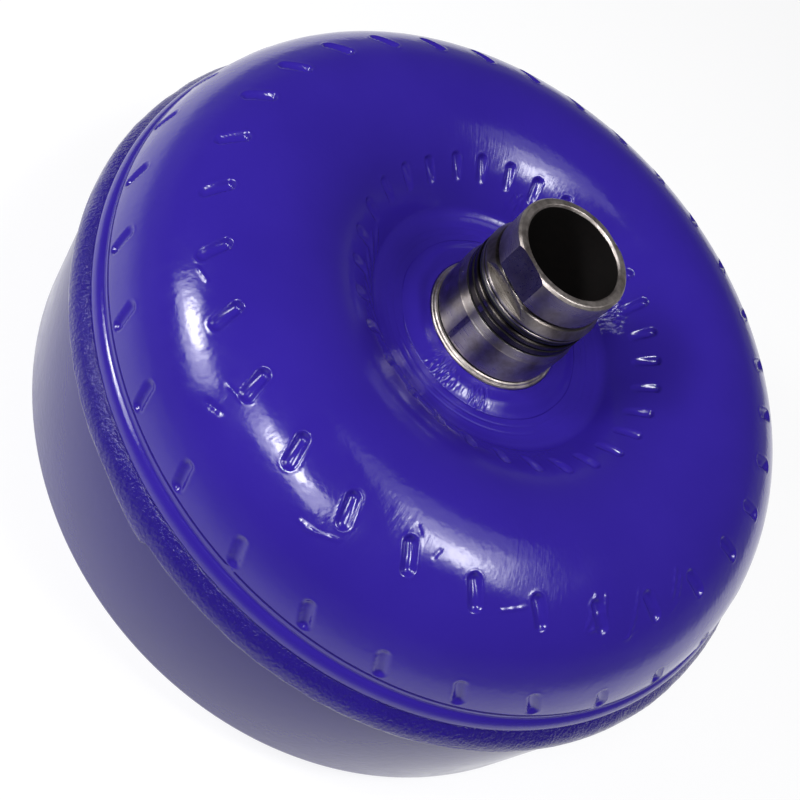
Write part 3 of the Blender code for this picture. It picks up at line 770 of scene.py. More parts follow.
def place_piece(name: str, mesh: bpy.types.Mesh, coat: Coat, nodes: Sequence[str]) -> bpy.types.Object:
    """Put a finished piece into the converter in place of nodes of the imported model.

    Args:
        name: name of the piece.
        mesh: its mesh, in metres, already where it belongs.
        coat: its finish.
        nodes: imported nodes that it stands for.

    Returns:
        The piece.
    """
    piece = bpy.data.objects.new(name, mesh)
    bpy.context.scene.collection.objects.link(piece)
    mesh.materials.clear()
    mesh.materials.append(coat.value.material())
    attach(piece, HOUSING)
    if nodes:
        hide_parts(*nodes)
    LOG.info("%s rides on %s", name, HOUSING)
    return piece


def node_box(node: str) -> tuple[Vector, Vector]:
    """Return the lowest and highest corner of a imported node, in millimetres."""
    low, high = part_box(node)
    return low / MM, high / MM


@dataclass(frozen=True)
class TabRow:
    """One ring of the marks that the blades' tabs leave in the impeller shell."""

    section_deg: float
    turn_deg: float         # turn of one mark of the ring
    length: float
    width: float
    depth: float
    slant_deg: float        # lean from the section line, outer end counter-clockwise
    shallow: float          # depth at the inner end, as a share of the outer end's


@dataclass(frozen=True)
class Scuff:
    """A scratch, knock or line of spatter beside the tabs, between two points of the shell."""

    start: Point            # section angle and turn, in degrees
    stop: Point
    height: float           # over the shell; negative for a cut
    width: float = 0.8


@dataclass
class ImpellerShell:
    """Pressed shell of the impeller: rolled edge, round dome with its tab marks, and dish."""

    sheet: float = 4.0
    torus_radius: float = 97.5
    section: float = 51.6
    blades: int = 31
    roundness: float = 2.3          # of a mark's bottom
    lip: float = 0.14               # metal that the punch pushes up round a mark
    fine: int = 36                  # columns per blade where marks are
    coarse: int = 9
    rows: tuple[TabRow, ...] = (
        TabRow(22.3, 176.7, 12.2, 4.6, 1.4, 25.0, 0.75),
        TabRow(61.9, 159.6, 13.2, 5.0, 1.15, 24.0, 1.7),
        TabRow(129.6, 117.1, 12.0, 4.2, 1.6, 6.0, 0.3))
    scuffs: tuple[Scuff, ...] = (
        Scuff((55.5, -128.0), (58.0, -125.5), 0.45), Scuff((46.5, -87.0), (52.0, -82.2), 0.4),
        Scuff((47.3, -88.0), (48.2, -85.6), 0.4, 1.2), Scuff((59.0, -56.0), (62.6, -52.0), 0.45),
        Scuff((56.0, -40.2), (70.0, -38.7), 0.45), Scuff((63.0, -37.5), (56.0, -39.2), 0.35),
        Scuff((69.5, -36.5), (61.0, -36.7), 0.5), Scuff((56.0, -39.6), (57.5, -37.6), 0.4),
        Scuff((51.0, -31.5), (61.0, -30.0), 0.4), Scuff((62.0, -30.0), (70.0, -28.9), 0.4),
        Scuff((62.0, -21.3), (72.0, -18.9), 0.45), Scuff((61.0, -19.8), (68.5, -18.1), 0.4),
        Scuff((51.0, -32.4), (54.4, -29.6), 0.25, 0.6), Scuff((56.0, -21.8), (60.0, -19.0), 0.2, 0.6),
        Scuff((44.6, -108.2), (47.2, -106.2), -0.5, 1.6), Scuff((53.8, -109.0), (55.8, -106.2), 0.5, 1.2),
        Scuff((73.0, -74.2), (70.8, -73.0), -0.35), Scuff((66.4, -69.5), (70.2, -69.0), -0.3))
    skirt: float = field(init=False)            # radius of the skirt
    foot_z: float = field(init=False)           # height of its foot
    crown_z: float = field(init=False)
    dish_z: float = field(init=False)
    jitter: dict[TabRow, np.ndarray] = field(init=False)    # unevenness of each row's marks
    clutter: Waves = field(init=False)

    def build(self) -> None:
        """Make the shell and lay its paint."""
        low, high = node_box("impeller_shell")
        self.skirt = high.x - 0.4
        self.foot_z = low.z
        self.crown_z = high.z
        self.dish_z = node_box("hub_weld")[0].z - 0.3
        draw = np.random.default_rng(31)
        self.jitter = {row: draw.normal(0, 1, (self.blades, 3)) for row in self.rows}
        self.clutter = Waves(5, 60, 300, 18)
        rings = [self.outer_ring(*station) for station in self.stations()]
        rings += self.inner_rings()
        place_piece("Impeller_Dome", mesh_from_rings("Impeller_Dome", rings), Coat.SHELL,
                    ["impeller_shell"])

    @property
    def torus_z(self) -> float:
        """Height of the round section's centre."""
        return self.crown_z - self.section

    def stations(self) -> list[tuple[float, float, float, float, int]]:
        """List the outer skin's rings, from the skirt's foot up and in to the hub.

        Returns:
            For each ring: radius, height, lean of its normal from the outward radius in radians,
            section angle in degrees, and number of columns.
        """
        fine, coarse = self.fine * self.blades, self.coarse * self.blades
        skirt, seam = self.skirt, self.foot_z + 12
        edge = [(skirt, self.foot_z, 0), (skirt, seam + 5, 0), (skirt, seam + 7.9, 0),
                (skirt + 0.5, seam + 8.8, 0), (skirt + 0.6, seam + 9.6, 5), (skirt + 0.35, seam + 10.8, 15),
                (skirt - 0.2, seam + 12.1, 25), (skirt - 1.0, seam + 13.2, 38),
                (skirt - 1.9, seam + 14.0, 50), (skirt - 2.55, seam + 14.35, 50),
                (skirt - 2.6, seam + 14.75, 10)]
        listed = [(r, z, math.radians(lean), -99.0, coarse * 2) for r, z, lean in edge]
        bands = ((12.5, 14.5, 1.0, coarse * 2), (14.5, 32.5, 0.62, fine), (33.5, 43.5, 1.4, coarse * 2),
                 (44.0, 76.0, 0.66, fine), (77.0, 119.0, 2.0, coarse * 2), (120.0, 139.5, 0.7, fine // 2),
                 (140.5, 147.0, 0.9, fine // 2))
        for start, stop, step, columns in bands:
            for angle in np.linspace(start, stop, round((stop - start) / step) + 1):
                a = math.radians(angle)
                listed.append((self.torus_radius + self.section * math.cos(a),
                               self.torus_z + self.section * math.sin(a), a, angle, columns))
        for radius, height, lean in self.dish():
            listed.append((radius, height, lean, 180.0, fine // 2 if radius > 38 else coarse))
        return listed

    def dish(self) -> list[tuple[float, float, float]]:
        """List the rings from the dome's foot to the hub.

        Returns:
            Radius, height and lean of each.
        """
        a = math.radians(147.0)
        foot = Vector((self.torus_radius + self.section * math.cos(a),
                       self.torus_z + self.section * math.sin(a)))
        floor = self.dish_z
        bend = [foot + Vector((-1.0, -1.35)), Vector((52.3, floor + 1.75)), Vector((51.4, floor + 1.15)),
                Vector((50.7, floor + 1.0)), Vector((50.0, floor + 0.8)), Vector((49.0, floor + 0.35)),
                Vector((47.8, floor + 0.12))]
        flats = [47.0, 46.4, 46.0, 45.6, 44.9, 44.0, 43.4, 43.0, 42.6, 41.9, 41.2, 40.5, 38.0, 34.0, 30.0]
        points = bend + [Vector((radius, floor)) for radius in flats]
        for index in (9, 14, 19):                       # shallow rings left by the die
            points[index].y -= 0.22
        listed = []
        for k, point in enumerate(points):
            before, after = points[max(k - 1, 0)], points[min(k + 1, len(points) - 1)]
            along = after - before
            listed.append((point.x, point.y, math.atan2(-along.x, along.y)))
        return listed

    def outer_ring(self, radius: float, height: float, lean: float, section_deg: float,
                   columns: int) -> np.ndarray:
        """Lay one ring of the outer skin, pushed in or out by its marks.

        Args:
            radius: distance from the axis.
            height: height of the ring.
            lean: lean of its normal from the outward radius, in radians.
            section_deg: its section angle.
            columns: number of points.

        Returns:
            The ring's points.
        """
        turn = math.tau * np.arange(columns) / columns
        rise = np.zeros(columns)
        if 0 < section_deg < 150:
            for row in self.rows:
                rise += self.tabs(row, section_deg, radius, turn)
            for scuff in self.scuffs:
                rise += self.scuffed(scuff, section_deg, turn)
        if section_deg > 134:
            rise += self.hammered(section_deg, radius, turn)
        return ring_points(radius + rise * math.cos(lean), turn, height + rise * math.sin(lean))

    def tabs(self, row: TabRow, section_deg: float, radius: float, turn: np.ndarray) -> np.ndarray:
        """Return the depth of one ring's tab marks at one section angle.

        Args:
            row: the ring of marks.
            section_deg: section angle of the points.
            radius: their distance from the axis.
            turn: their turns in radians.

        Returns:
            Height over the plain shell in millimetres, mostly negative.
        """
        down = math.radians(row.section_deg - section_deg) * self.section
        if abs(down) > row.length:
            return np.zeros_like(turn)
        pitch = math.tau / self.blades
        away = turn - math.radians(row.turn_deg)
        index = np.round(away / pitch).astype(int)
        jitter = self.jitter[row][index % self.blades]
        side = (away - index * pitch) * radius + 0.25 * jitter[:, 0]
        down = down + 0.25 * jitter[:, 1]
        slant = math.radians(row.slant_deg) + 0.03 * jitter[:, 2]
        along = down * np.cos(slant) + side * np.sin(slant)
        across = side * np.cos(slant) - down * np.sin(slant)
        straight = (row.length - row.width) / 2
        out = np.hypot(np.maximum(np.abs(along) - straight, 0), across) - row.width / 2
        share = row.shallow + (1 - row.shallow) * smoothstep(along, -row.length / 2, row.length / 4)
        depth = row.depth * (1 + 0.1 * jitter[:, 1])
        pushed = self.lip * np.exp(-((out - 0.3) / 0.45) ** 2)
        sunk = 1 - (1 - np.clip(-2 * out / row.width, 0, 1)) ** self.roundness
        return share * (pushed - depth * sunk)

    def scuffed(self, scuff: Scuff, section_deg: float, turn: np.ndarray) -> np.ndarray:
        """Raise or cut one scuff at one section angle.

        Args:
            scuff: the scuff.
            section_deg: section angle of the points.
            turn: their turns in radians.

        Returns:
            Height over the plain shell in millimetres.
        """
        a, b = Vector(scuff.start), Vector(scuff.stop)
        reach = 2.0
        if not min(a.x, b.x) - reach < section_deg < max(a.x, b.x) + reach:
            return np.zeros_like(turn)
        per_section = math.radians(1) * self.section
        per_turn = math.radians(1) * (self.torus_radius + self.section * math.cos(math.radians(a.x)))
        line = np.array([(b.x - a.x) * per_section, (b.y - a.y) * per_turn])
        degrees = (np.degrees(turn) - a.y + 180) % 360 - 180
        point = np.stack([np.full_like(turn, (section_deg - a.x) * per_section), degrees * per_turn])
        share = np.clip(line @ point / (line @ line), 0, 1)
        away = np.hypot(*(point - line[:, None] * share))
        ragged = 0.7 + 0.3 * np.sin(share * 17 + a.y)
        return scuff.height * ragged * np.exp(-(away / (scuff.width * 0.55)) ** 2)

    def hammered(self, section_deg: float, radius: float, turn: np.ndarray) -> np.ndarray:
        """Raise the knocks and spatter round the dome's foot.

        Args:
            section_deg: section angle of the points; 180 in the dish. Not used.
            radius: their distance from the axis.
            turn: their turns in radians.

        Returns:
            Height over the plain shell in millimetres.
        """
        degrees = np.degrees(turn)
        rise = np.zeros_like(turn)
        away = (degrees + 128 + 180) % 360 - 180
        band = smoothstep(-abs(away), -38, -26) * math.exp(-((radius - 58.5) / 3.2) ** 2)
        rise += 0.38 * band * np.maximum(np.sin(degrees * 0.85 + (radius - 58) * 0.9), -0.3)
        for centre, at_radius, size in ((121.0, 59.0, 5.0), (59.0, 61.0, 5.5), (-91.0, 55.0, 4.5)):
            side = np.radians((degrees - centre + 180) % 360 - 180) * radius
            near = np.exp(-((radius - at_radius) ** 2 + side ** 2) / size ** 2)
            rise += 0.4 * near * self.clutter.at(turn * 2, radius * 1.3)
        return rise

    def inner_rings(self) -> list[np.ndarray]:
        """Lay the inner skin, from the hub back to the skirt's foot.

        Returns:
            Its rings.
        """
        columns = self.coarse * self.blades
        turn = math.tau * np.arange(columns) / columns
        under = self.dish_z - self.sheet
        outline = [(30.0, under), (40.0, under), (51.0, under), (54.3, under + 0.3)]
        outline += section_arc((self.torus_radius, self.torus_z), self.section - self.sheet, 149, 10, 34)
        outline += [(self.skirt - self.sheet, self.foot_z + 22), (self.skirt - self.sheet, self.foot_z)]
        return [ring_points(np.full(columns, radius), turn, height) for radius, height in outline]


@dataclass
class ClosingWeld:
    """Arc-welded bead that closes the housing, laid over the cover's edge."""

    columns: int = 2232
    ripples: int = 640              # a ripple every millimetre and a half
    crown: float = 1.45             # how far the bead bulges
    ledge: float = 1.45             # how far it stands out over the cover
    overlap: float = 1.3            # how far its toe runs down over the cover
    run: Point = (-113.0, -99.3)    # turns between which the last stretch of bead overlaps the first
    run_drop: float = 3.2

    def build(self) -> None:
        """Make the bead and lay its paint."""
        low, high = node_box("closing_weld")
        cover = node_box("front_cover")[1].x
        turn = math.tau * np.arange(self.columns) / self.columns
        drips, swell, rough = Waves(11, 18, 110, 10), Waves(12, 5, 60, 8), Waves(13, 150, 620, 22)
        degrees = (np.degrees(turn) + 180) % 360 - 180
        lapped = smoothstep(degrees, *self.run) ** 2 * (degrees < self.run[1] + 0.01)
        fall = smoothstep(degrees, self.run[1] + 1.1, self.run[1])
        lapped = np.where(degrees > self.run[1], fall, lapped)
        toe = low.z - self.overlap - 0.45 * np.maximum(drips.at(turn), -0.6) - self.run_drop * lapped
        toe_radius, top_radius, top = cover + self.ledge, high.x - 4.7, high.z + 0.2
        rings = [ring_points(np.full(self.columns, cover - 0.6), turn, toe + 0.6),
                 ring_points(np.full(self.columns, cover), turn, toe - 0.45),
                 ring_points(np.full(self.columns, cover + 0.45), turn, toe - 0.3),
                 ring_points(np.full(self.columns, toe_radius - 0.15), turn, toe - 0.15)]
        spans = 15
        for step in range(spans + 1):
            t = step / spans
            bulge = self.crown * math.sin(math.pi * t)
            chevron = turn * self.ripples + 5.0 * (t - 0.5) ** 2 * math.pi
            skin = (0.035 * np.sin(chevron) + 0.05 * rough.at(turn, t * 16) + 0.16 * swell.at(turn, t * 2))
            out = bulge + (skin + 0.7 * lapped) * math.sin(math.pi * t) ** 0.4
            chord = np.stack([np.full_like(turn, top_radius - toe_radius), top - toe])
            normal = np.stack([chord[1], -chord[0]]) / np.hypot(*chord)
            rings.append(ring_points(toe_radius + chord[0] * t + normal[0] * out, turn,
                                     toe + chord[1] * t + normal[1] * out * (1 - 0.6 * t)))
        rings.append(ring_points(np.full(self.columns, top_radius - 0.6), turn, top - 0.5))
        rings.append(ring_points(np.full(self.columns, top_radius - 0.6), turn, low.z + 0.3))
        place_piece("Closing_Weld", mesh_from_rings("Closing_Weld", rings), Coat.BEAD,
                    ["closing_weld"])


@dataclass
class FrontCover:
    """Deep pressed front cover with a stepped centre, and what is fixed to its engine side."""

    wall: float = 4.0
    sheet: float = 4.5
    step: float = 3.0
    corner: float = 6.0
    plug_hole: float = 5.6          # radius of the hole for the drain plug
    plug_head: float = 8.0          # radius over its corners
    plug_shank: float = 5.0
    steps: int = 288

    def build(self) -> None:
        """Make the cover, its drain plug, balance weight and crank pilot."""
        low, high = node_box("front_cover")
        radius, face, rim = high.x, low.z + self.step, high.z
        inside, floor = radius - self.wall, face + self.sheet
        outline: Outline = [(0, face - self.step), (45, face - self.step), (47.5, face - 2.4),
                            (50.5, face - 0.6), (53, face), (80, face), (82, face + 0.5),
                            (94, face + 0.5), (96, face)]
        outline += section_arc((radius - self.corner, face + self.corner), self.corner, -90, 0, 10)
        outline += [(radius, rim), (inside, rim), (inside, floor + 2), (inside - 2, floor), (96, floor),
                    (52, floor), (46, floor - self.step), (0, floor - self.step)]
        piece = place_piece("Front_Cover", turned_mesh("Front_Cover", softened(outline, 0.6), self.steps),
                            Coat.COVER, ["front_cover"])
        plug_low, plug_high = node_box("drain_plug")
        middle = (plug_low + plug_high) / 2
        hole = turned_mesh("drain_hole", [(0, 0), (self.plug_hole, 0), (self.plug_hole, 40), (0, 40)], 40)
        hole.transform(Matrix.Translation(Vector((middle.x, middle.y, 0)) * MM))
        shape_with(piece, hole)
        self.drain_plug(middle, plug_low.z, plug_high.z)
        self.crank_pilot()
        self.balance_weight()

    def drain_plug(self, middle: Vector, low: float, high: float) -> None:
        """Make the hexagon plug: chamfered head, washer face and shank.

        Args:
            middle: where its axis is.
            low: height of the head's outer face.
            high: height of the shank's end.
        """
        head, shank, under = self.plug_head, self.plug_shank, low + 4.0
        outline = [(0, low), (head - 1.6, low), (head, low + 0.9), (head, under), (shank, under),
                   (shank, high), (0, high)]
        mesh = turned_mesh("Drain_Plug", softened(outline, 0.2), 72)
        piece = place_piece("Drain_Plug", mesh, Coat.MILLED, ["drain_plug"])
        bm = bmesh.new()
        bmesh.ops.create_cone(bm, cap_ends=True, segments=6, radius1=head, radius2=head, depth=60)
        shape_with(piece, mesh_from_bmesh("hexagon", bm), "INTERSECT")
        piece.data.transform(Matrix.Translation(Vector((middle.x, middle.y, 0)) * MM))
        bevelled(piece, 0.15)

    def crank_pilot(self) -> None:
        """Make the turned stub that centres the converter in the crankshaft."""
        low, high = node_box("crank_pilot")
        root = high.x
        tip = root - 3.0
        outline = [(0, low.z + 0.8), (3.0, low.z + 0.8), (4.2, low.z), (tip - 1.5, low.z),
                   (tip, low.z + 1.5), (tip, low.z + 4.6), (tip - 0.5, low.z + 4.9),
                   (tip - 0.5, low.z + 5.7), (tip, low.z + 6.0), (tip + 0.4, low.z + 6.6),
                   (root, high.z + 0.2), (0, high.z + 0.2)]
        place_piece("Crank_Pilot", turned_mesh("Crank_Pilot", softened(outline, 0.3), 160), Coat.TURNED,
                    ["crank_pilot"])
        bead = bead_on_path("Pilot_Weld", circle_path(root + 0.2, 240), high.z + 0.3, 3.2, 2.2, 91, -1)
        place_piece("Pilot_Weld", bead, Coat.BEAD, [])

    def balance_weight(self) -> None:
        """Make the curved weight that is spot-welded near the cover's edge."""
        low, high = node_box("balance_weight")
        centre = (low + high) / 2
        turn, radius = math.atan2(centre.y, centre.x), math.hypot(centre.x, centre.y)
        bm = bmesh.new()
        half, spread, count = 6.0, 12.6 / radius, 14
        rails = []
        for k in range(count + 1):
            angle = turn + spread * (2 * k / count - 1)
            rails.append([bm.verts.new((r * math.cos(angle), r * math.sin(angle), z))
                          for r, z in ((radius - half, low.z), (radius + half, low.z),
                                       (radius + half, high.z), (radius - half, high.z))])
        for here, there in zip(rails, rails[1:]):
            for k in range(4):
                bm.faces.new((here[k], here[(k + 1) % 4], there[(k + 1) % 4], there[k]))
        bm.faces.new(rails[0])
        bm.faces.new(rails[-1])
        piece = place_piece("Balance_Weight", mesh_from_bmesh("Balance_Weight", bm), Coat.MILLED,
                            ["balance_weight"])
        for offset in (-0.5, 0.5):
            angle = turn + spread * offset
            dent = turned_mesh("spot", [(0, -3), (1.2, 0.25), (2.6, 0.6), (3.2, 0.7), (3.2, -3)], 32)
            at = Vector((radius * math.cos(angle), radius * math.sin(angle), low.z - 0.2)) * MM
            dent.transform(Matrix.Translation(at))
            shape_with(piece, dent)
        bevelled(piece, 0.5)


def circle_path(radius: float, count: int) -> np.ndarray:
    """Return a closed path of points round the axis, in millimetres."""
    angle = math.tau * np.arange(count) / count
    return np.stack([radius * np.cos(angle), radius * np.sin(angle)], axis=1)


def bead_on_path(name: str, path: np.ndarray, height: float, leg: float, rise: float, seed: int,
                 side: int) -> bpy.types.Mesh:
    """Lay a rippled fillet bead along a closed path.

    Args:
        name: name of the mesh.
        path: closed path in the plane, counter-clockwise, in millimetres.
        height: height of the plate that the bead lies on.
        leg: width of the bead on the plate.
        rise: height of the bead against the piece inside the path.
        seed: seed of its unevenness.
        side: +1 if the bead stands up from the plate, -1 if it hangs down.

    Returns:
        The mesh.
    """
    ahead = np.roll(path, -1, axis=0) - np.roll(path, 1, axis=0)
    out = np.stack([ahead[:, 1], -ahead[:, 0]], axis=1) / np.hypot(*ahead.T)[:, None]
    angle = math.tau * np.arange(len(path)) / len(path)
    length = float(np.hypot(*(np.roll(path, -1, axis=0) - path).T).sum())
    waves = Waves(seed, 8, max(12, int(length / 3)), 12)
    ripples = round(length / 1.6)
    rings = []
    for step in range(9):
        t = step / 8
        skin = 0.12 * waves.at(angle, t * 4) + 0.08 * np.sin(ripples * angle + 3 * (t - 0.5) ** 2)
        skin = skin * math.sin(math.pi * t)
        away = leg * (1 - t) + 0.35 * leg * math.sin(math.pi * t) + skin
        up = rise * t + 0.35 * rise * math.sin(math.pi * t) + skin
        rings.append(np.column_stack([path + out * away[:, None] * (1 + 0.06 * waves.at(angle)[:, None]),
                                      height + side * up]))
    rings.append(np.column_stack([path - out * 0.5, np.full(len(path), height + side * rise * 0.9)]))
    rings.append(np.column_stack([path - out * 0.5, np.full(len(path), height - side * 0.4)]))
    rings.append(np.column_stack([path + out * leg * 0.9, np.full(len(path), height - side * 0.4)]))
    return mesh_from_rings(name, rings)


@dataclass
class DrivePads:
    """Tapped blocks for the flexplate bolts, welded to the cover's face."""

    count: int = 6
    circle: float = 118.0
    first_deg: float = 30.0
    size: tuple[float, float] = (28.0, 36.0)    # along the radius and across it
    corner: float = 5.0
    thread_core: float = 4.3
    thread_depth: float = 0.75
    thread_pitch: float = 1.5

    def build(self) -> None:
        """Make the pads and their welds."""
        low, high = node_box("drive_pad_1")
        mesh = self.block(low.z, high.z)
        for index in range(self.count):
            turn = math.radians(self.first_deg + 360 * index / self.count)
            spot = (Matrix.Rotation(turn, 4, "Z") @ Matrix.Translation((self.circle * MM, 0, 0)))
            copy = mesh.copy()
            copy.transform(spot)
            place_piece(f"Drive_Pad_{index + 1}", copy, Coat.MILLED, [f"drive_pad_{index + 1}"])
            bead = bead_on_path(f"Pad_Weld_{index + 1}", self.edge(0.1, 12), high.z + 0.3, 3.6, 3.0,
                                40 + index, -1)
            bead.transform(spot)
            place_piece(f"Pad_Weld_{index + 1}", bead, Coat.BEAD, [])
        bpy.data.meshes.remove(mesh)

    def edge(self, grow: float, spans: int) -> np.ndarray:
        """Draw the pad's rounded outline in the plane, counter-clockwise.

        Args:
            grow: how far outside the pad it runs.
            spans: spans of each corner; the straight sides have twice as many.

        Returns:
            The outline's points in millimetres.
        """
        half = np.array(self.size) / 2
        points: list[Point] = []
        for quarter, (sx, sy) in enumerate(((1, 1), (-1, 1), (-1, -1), (1, -1))):
            centre = (half - self.corner) * (sx, sy)
            for k in range(spans + 1):
                angle = math.pi / 2 * (quarter + k / spans)
                reach = self.corner + grow
                points.append((centre[0] + reach * math.cos(angle), centre[1] + reach * math.sin(angle)))
            after = (half - self.corner) * ((-sx, sy) if quarter % 2 == 0 else (sx, -sy))
            last = np.array(points[-1])
            span = after - centre
            points += [tuple(last + span * k / (2 * spans)) for k in range(1, 2 * spans)]
        return np.array(points)

    def block(self, low: float, high: float) -> bpy.types.Mesh:
        """Make one pad at the origin, with its thread.

        Args:
            low: height of its bolt face.
            high: height of its welded face.

        Returns:
            The pad's mesh.
        """
        outline = self.edge(0.0, 6)
        bm = bmesh.new()
        face = bm.faces.new([bm.verts.new((x, y, low)) for x, y in outline])
        lifted = bmesh.ops.extrude_face_region(bm, geom=[face])
        verts = [item for item in lifted["geom"] if isinstance(item, bmesh.types.BMVert)]
        bmesh.ops.translate(bm, verts=verts, vec=(0, 0, high - low))
        piece = bpy.data.objects.new("pad", mesh_from_bmesh("pad", bm))
        bpy.context.scene.collection.objects.link(piece)
        core, root = self.thread_core, self.thread_core + self.thread_depth
        tool: Outline = [(0, low - 2), (root + 1.6, low - 2), (root + 0.5, low + 0.9)]
        height = low + 0.9 + self.thread_pitch / 2
        while height < high - 1:
            tool += [(core, height), (root, height + self.thread_pitch / 2)]
            height += self.thread_pitch
        tool += [(core, height), (core, high + 2), (0, high + 2)]
        shape_with(piece, turned_mesh("tap", tool, 40))
        bevelled(piece, 0.4)
        mesh = piece.data
        bpy.data.objects.remove(piece)
        return mesh


@dataclass
class PumpHub:
    """Hub that drives the oil pump: collar, bushing journal, seal groove and nose with two flats."""

    bore: float = 19.25
    nose: float = 23.3
    journal: float = 26.6
    collar: float = 28.5
    flat: float = 21.8              # distance of the drive flats from the axis
    flat_deg: float = -108.0
    cutter: tuple[float, float, float] = (10.0, 60.0, 20.0)     # block that mills a flat
    cutter_drop: float = 8.5        # its middle under the hub's end
    edge_break: float = 0.5
    steps: int = 288
    low: float = field(init=False)
    top: float = field(init=False)

    def build(self) -> None:
        """Make the hub, its seal ring and its weld."""
        low, high = node_box("pump_hub")
        self.low, self.top = low.z, high.z
        piece = place_piece("Pump_Hub", turned_mesh("Pump_Hub", self.outline(), self.steps), Coat.TURNED,
                            ["pump_hub"])
        for turn in (0, 180):
            bm = bmesh.new()
            box = (Matrix.Rotation(math.radians(self.flat_deg + turn), 4, "Z")
                   @ Matrix.Translation((self.flat + self.cutter[0] / 2, 0, self.top - self.cutter_drop))
                   @ Matrix.Diagonal((*self.cutter, 1.0)))
            bmesh.ops.create_cube(bm, size=1.0, matrix=box)
            shape_with(piece, mesh_from_bmesh("flat", bm))
        for coat in (Coat.EDGE, Coat.SHADE_BLACK, Coat.MILLED, Coat.OILY, Coat.FACED):
            piece.data.materials.append(coat.value.material())
        # the broken edges show material 1, the pale edge steel: a painted highlight along the hub's edges
        bevelled(piece, self.edge_break, limit_deg=17, finish=1)
        self.finish_faces(piece)
        self.seal_ring()
        self.weld()

    def outline(self) -> Outline:
        """Draw the hub's section, with its chamfers and tool lines.

        Returns:
            The closed section.
        """
        top, low, nose = self.top, self.low, self.nose
        under = top - 60.0              # top of the flange, under the shell's dish
        base = top - 52.4               # top of the collar
        line = 0.5                      # depth of a tool line
        outer: Outline = [
            (self.bore, low), (46.0, low), (46.0, under), (self.collar, under), (self.collar, base - 0.5),
            (self.collar - 0.5, base), (27.4, base), (27.0, base + 0.5), (26.2, base + 0.8),
            (26.2, base + 1.4), (self.journal - 0.3, base + 1.6), (self.journal, base + 1.9),
            (self.journal, top - 35.7), (self.journal - 0.2, top - 35.4), (25.45, top - 32.2),
            (25.4, top - 32.0), (25.4 - line, top - 31.8),
            (25.4 - line, top - 31.0), (25.4, top - 30.8), (25.4, top - 28.3), (25.4 - line, top - 28.1),
            (25.4 - line, top - 27.1), (25.4, top - 26.9), (25.4, top - 25.2), (25.1, top - 24.8),
            (22.8, top - 24.8), (22.8, top - 21.6), (25.0, top - 21.6), (25.3, top - 21.3),
            (25.3, top - 20.6), (25.3 - line, top - 20.4), (25.3 - line, top - 19.8), (25.3, top - 19.6),
            (25.3, top - 19.0), (23.7, top - 15.4), (23.4, top - 15.2), (21.5, top - 14.9),
            (21.5, top - 13.9), (nose, top - 13.5), (nose, top - 1.0), (nose - 0.9, top - 0.1),
            (nose - 1.3, top), (20.1, top), (self.bore + 0.1, top - 0.8), (self.bore, top - 1.2)]
        return softened(outer, 0.18, 6)

    def finish_faces(self, piece: bpy.types.Object) -> None:
        """Paint the bore and the grooves flat black, a painted shade, and give the flats their milled skin.

        Args:
            piece: the hub, with one material for each of those skins.
        """
        turn = math.radians(self.flat_deg)
        across = Vector((math.cos(turn), math.sin(turn), 0))
        for face in piece.data.polygons:
            centre = face.center / MM
            radius, down = math.hypot(centre.x, centre.y), self.top - centre.z
            groove = 21.7 < down < 24.7 or 13.95 < down < 14.85 or 50.8 < down < 51.9
            line = (radius < 25.3 and 26.5 < down < 31.95) or (radius < 25.1 and 19.6 < down < 20.5)
            # painted shade: the bore and the grooves get the flat black, material 2
            if radius < self.bore + 0.15 and down > 0.9:
                face.material_index = 2
            elif (groove or line) and radius < self.journal - 0.2:
                face.material_index = 2
            elif face.normal.z > 0.6 and (down < 1.2 or 50 < down < 54):
                face.material_index = 5
            elif abs(face.normal.dot(across)) > 0.999:
                face.material_index = 3
            elif 24.8 < down < 31.9:
                face.material_index = 4

    def seal_ring(self) -> None:
        """Make the round seal ring in the hub's groove."""
        low, high = node_box("hub_oring")
        section = (high.z - low.z) / 2
        outline = section_arc((high.x - section, (low.z + high.z) / 2), section, 0, 342, 19)
        place_piece("Hub_Seal_Ring", turned_mesh("Hub_Seal_Ring", outline, 192), Coat.RUBBER,
                    ["hub_oring"])

    def weld(self) -> None:
        """Make the flat fillet weld round the collar, smooth under thick paint, with one rough run."""
        low, high = node_box("hub_weld")
        columns, spans = 744, 16
        turn = math.tau * np.arange(columns) / columns
        swell, rough = Waves(21, 3, 14, 8), Waves(22, 40, 200, 20)
        foot, inner = high.x, self.collar + 0.15
        degrees = (np.degrees(turn) + 91 + 180) % 360 - 180
        patch = np.exp(-(degrees / 9) ** 2) + 0.7 * np.exp(-((degrees - 28) / 6) ** 2)
        rings = []
        for step in range(spans + 1):
            t = step / spans
            radius = foot + 0.4 - (foot + 0.4 - inner) * t
            crest = (high.z - low.z + 0.2) * (1 - (1 - t) ** 1.7) - 0.25 * math.sin(3 * math.pi * t)
            skin = 0.16 * swell.at(turn, t * 3) + 0.5 * patch * rough.at(turn, t * 8)
            rings.append(ring_points(np.full(columns, radius) + 0.25 * swell.at(turn) * (1 - t), turn,
                                     low.z - 0.3 + crest + skin * math.sin(math.pi * min(t + 0.1, 1))))
        for radius in (inner, foot + 0.2):
            rings.append(ring_points(np.full(columns, radius), turn, low.z - 0.6))
        place_piece("Hub_Weld", mesh_from_rings("Hub_Weld", rings), Coat.SHELL, ["hub_weld"])


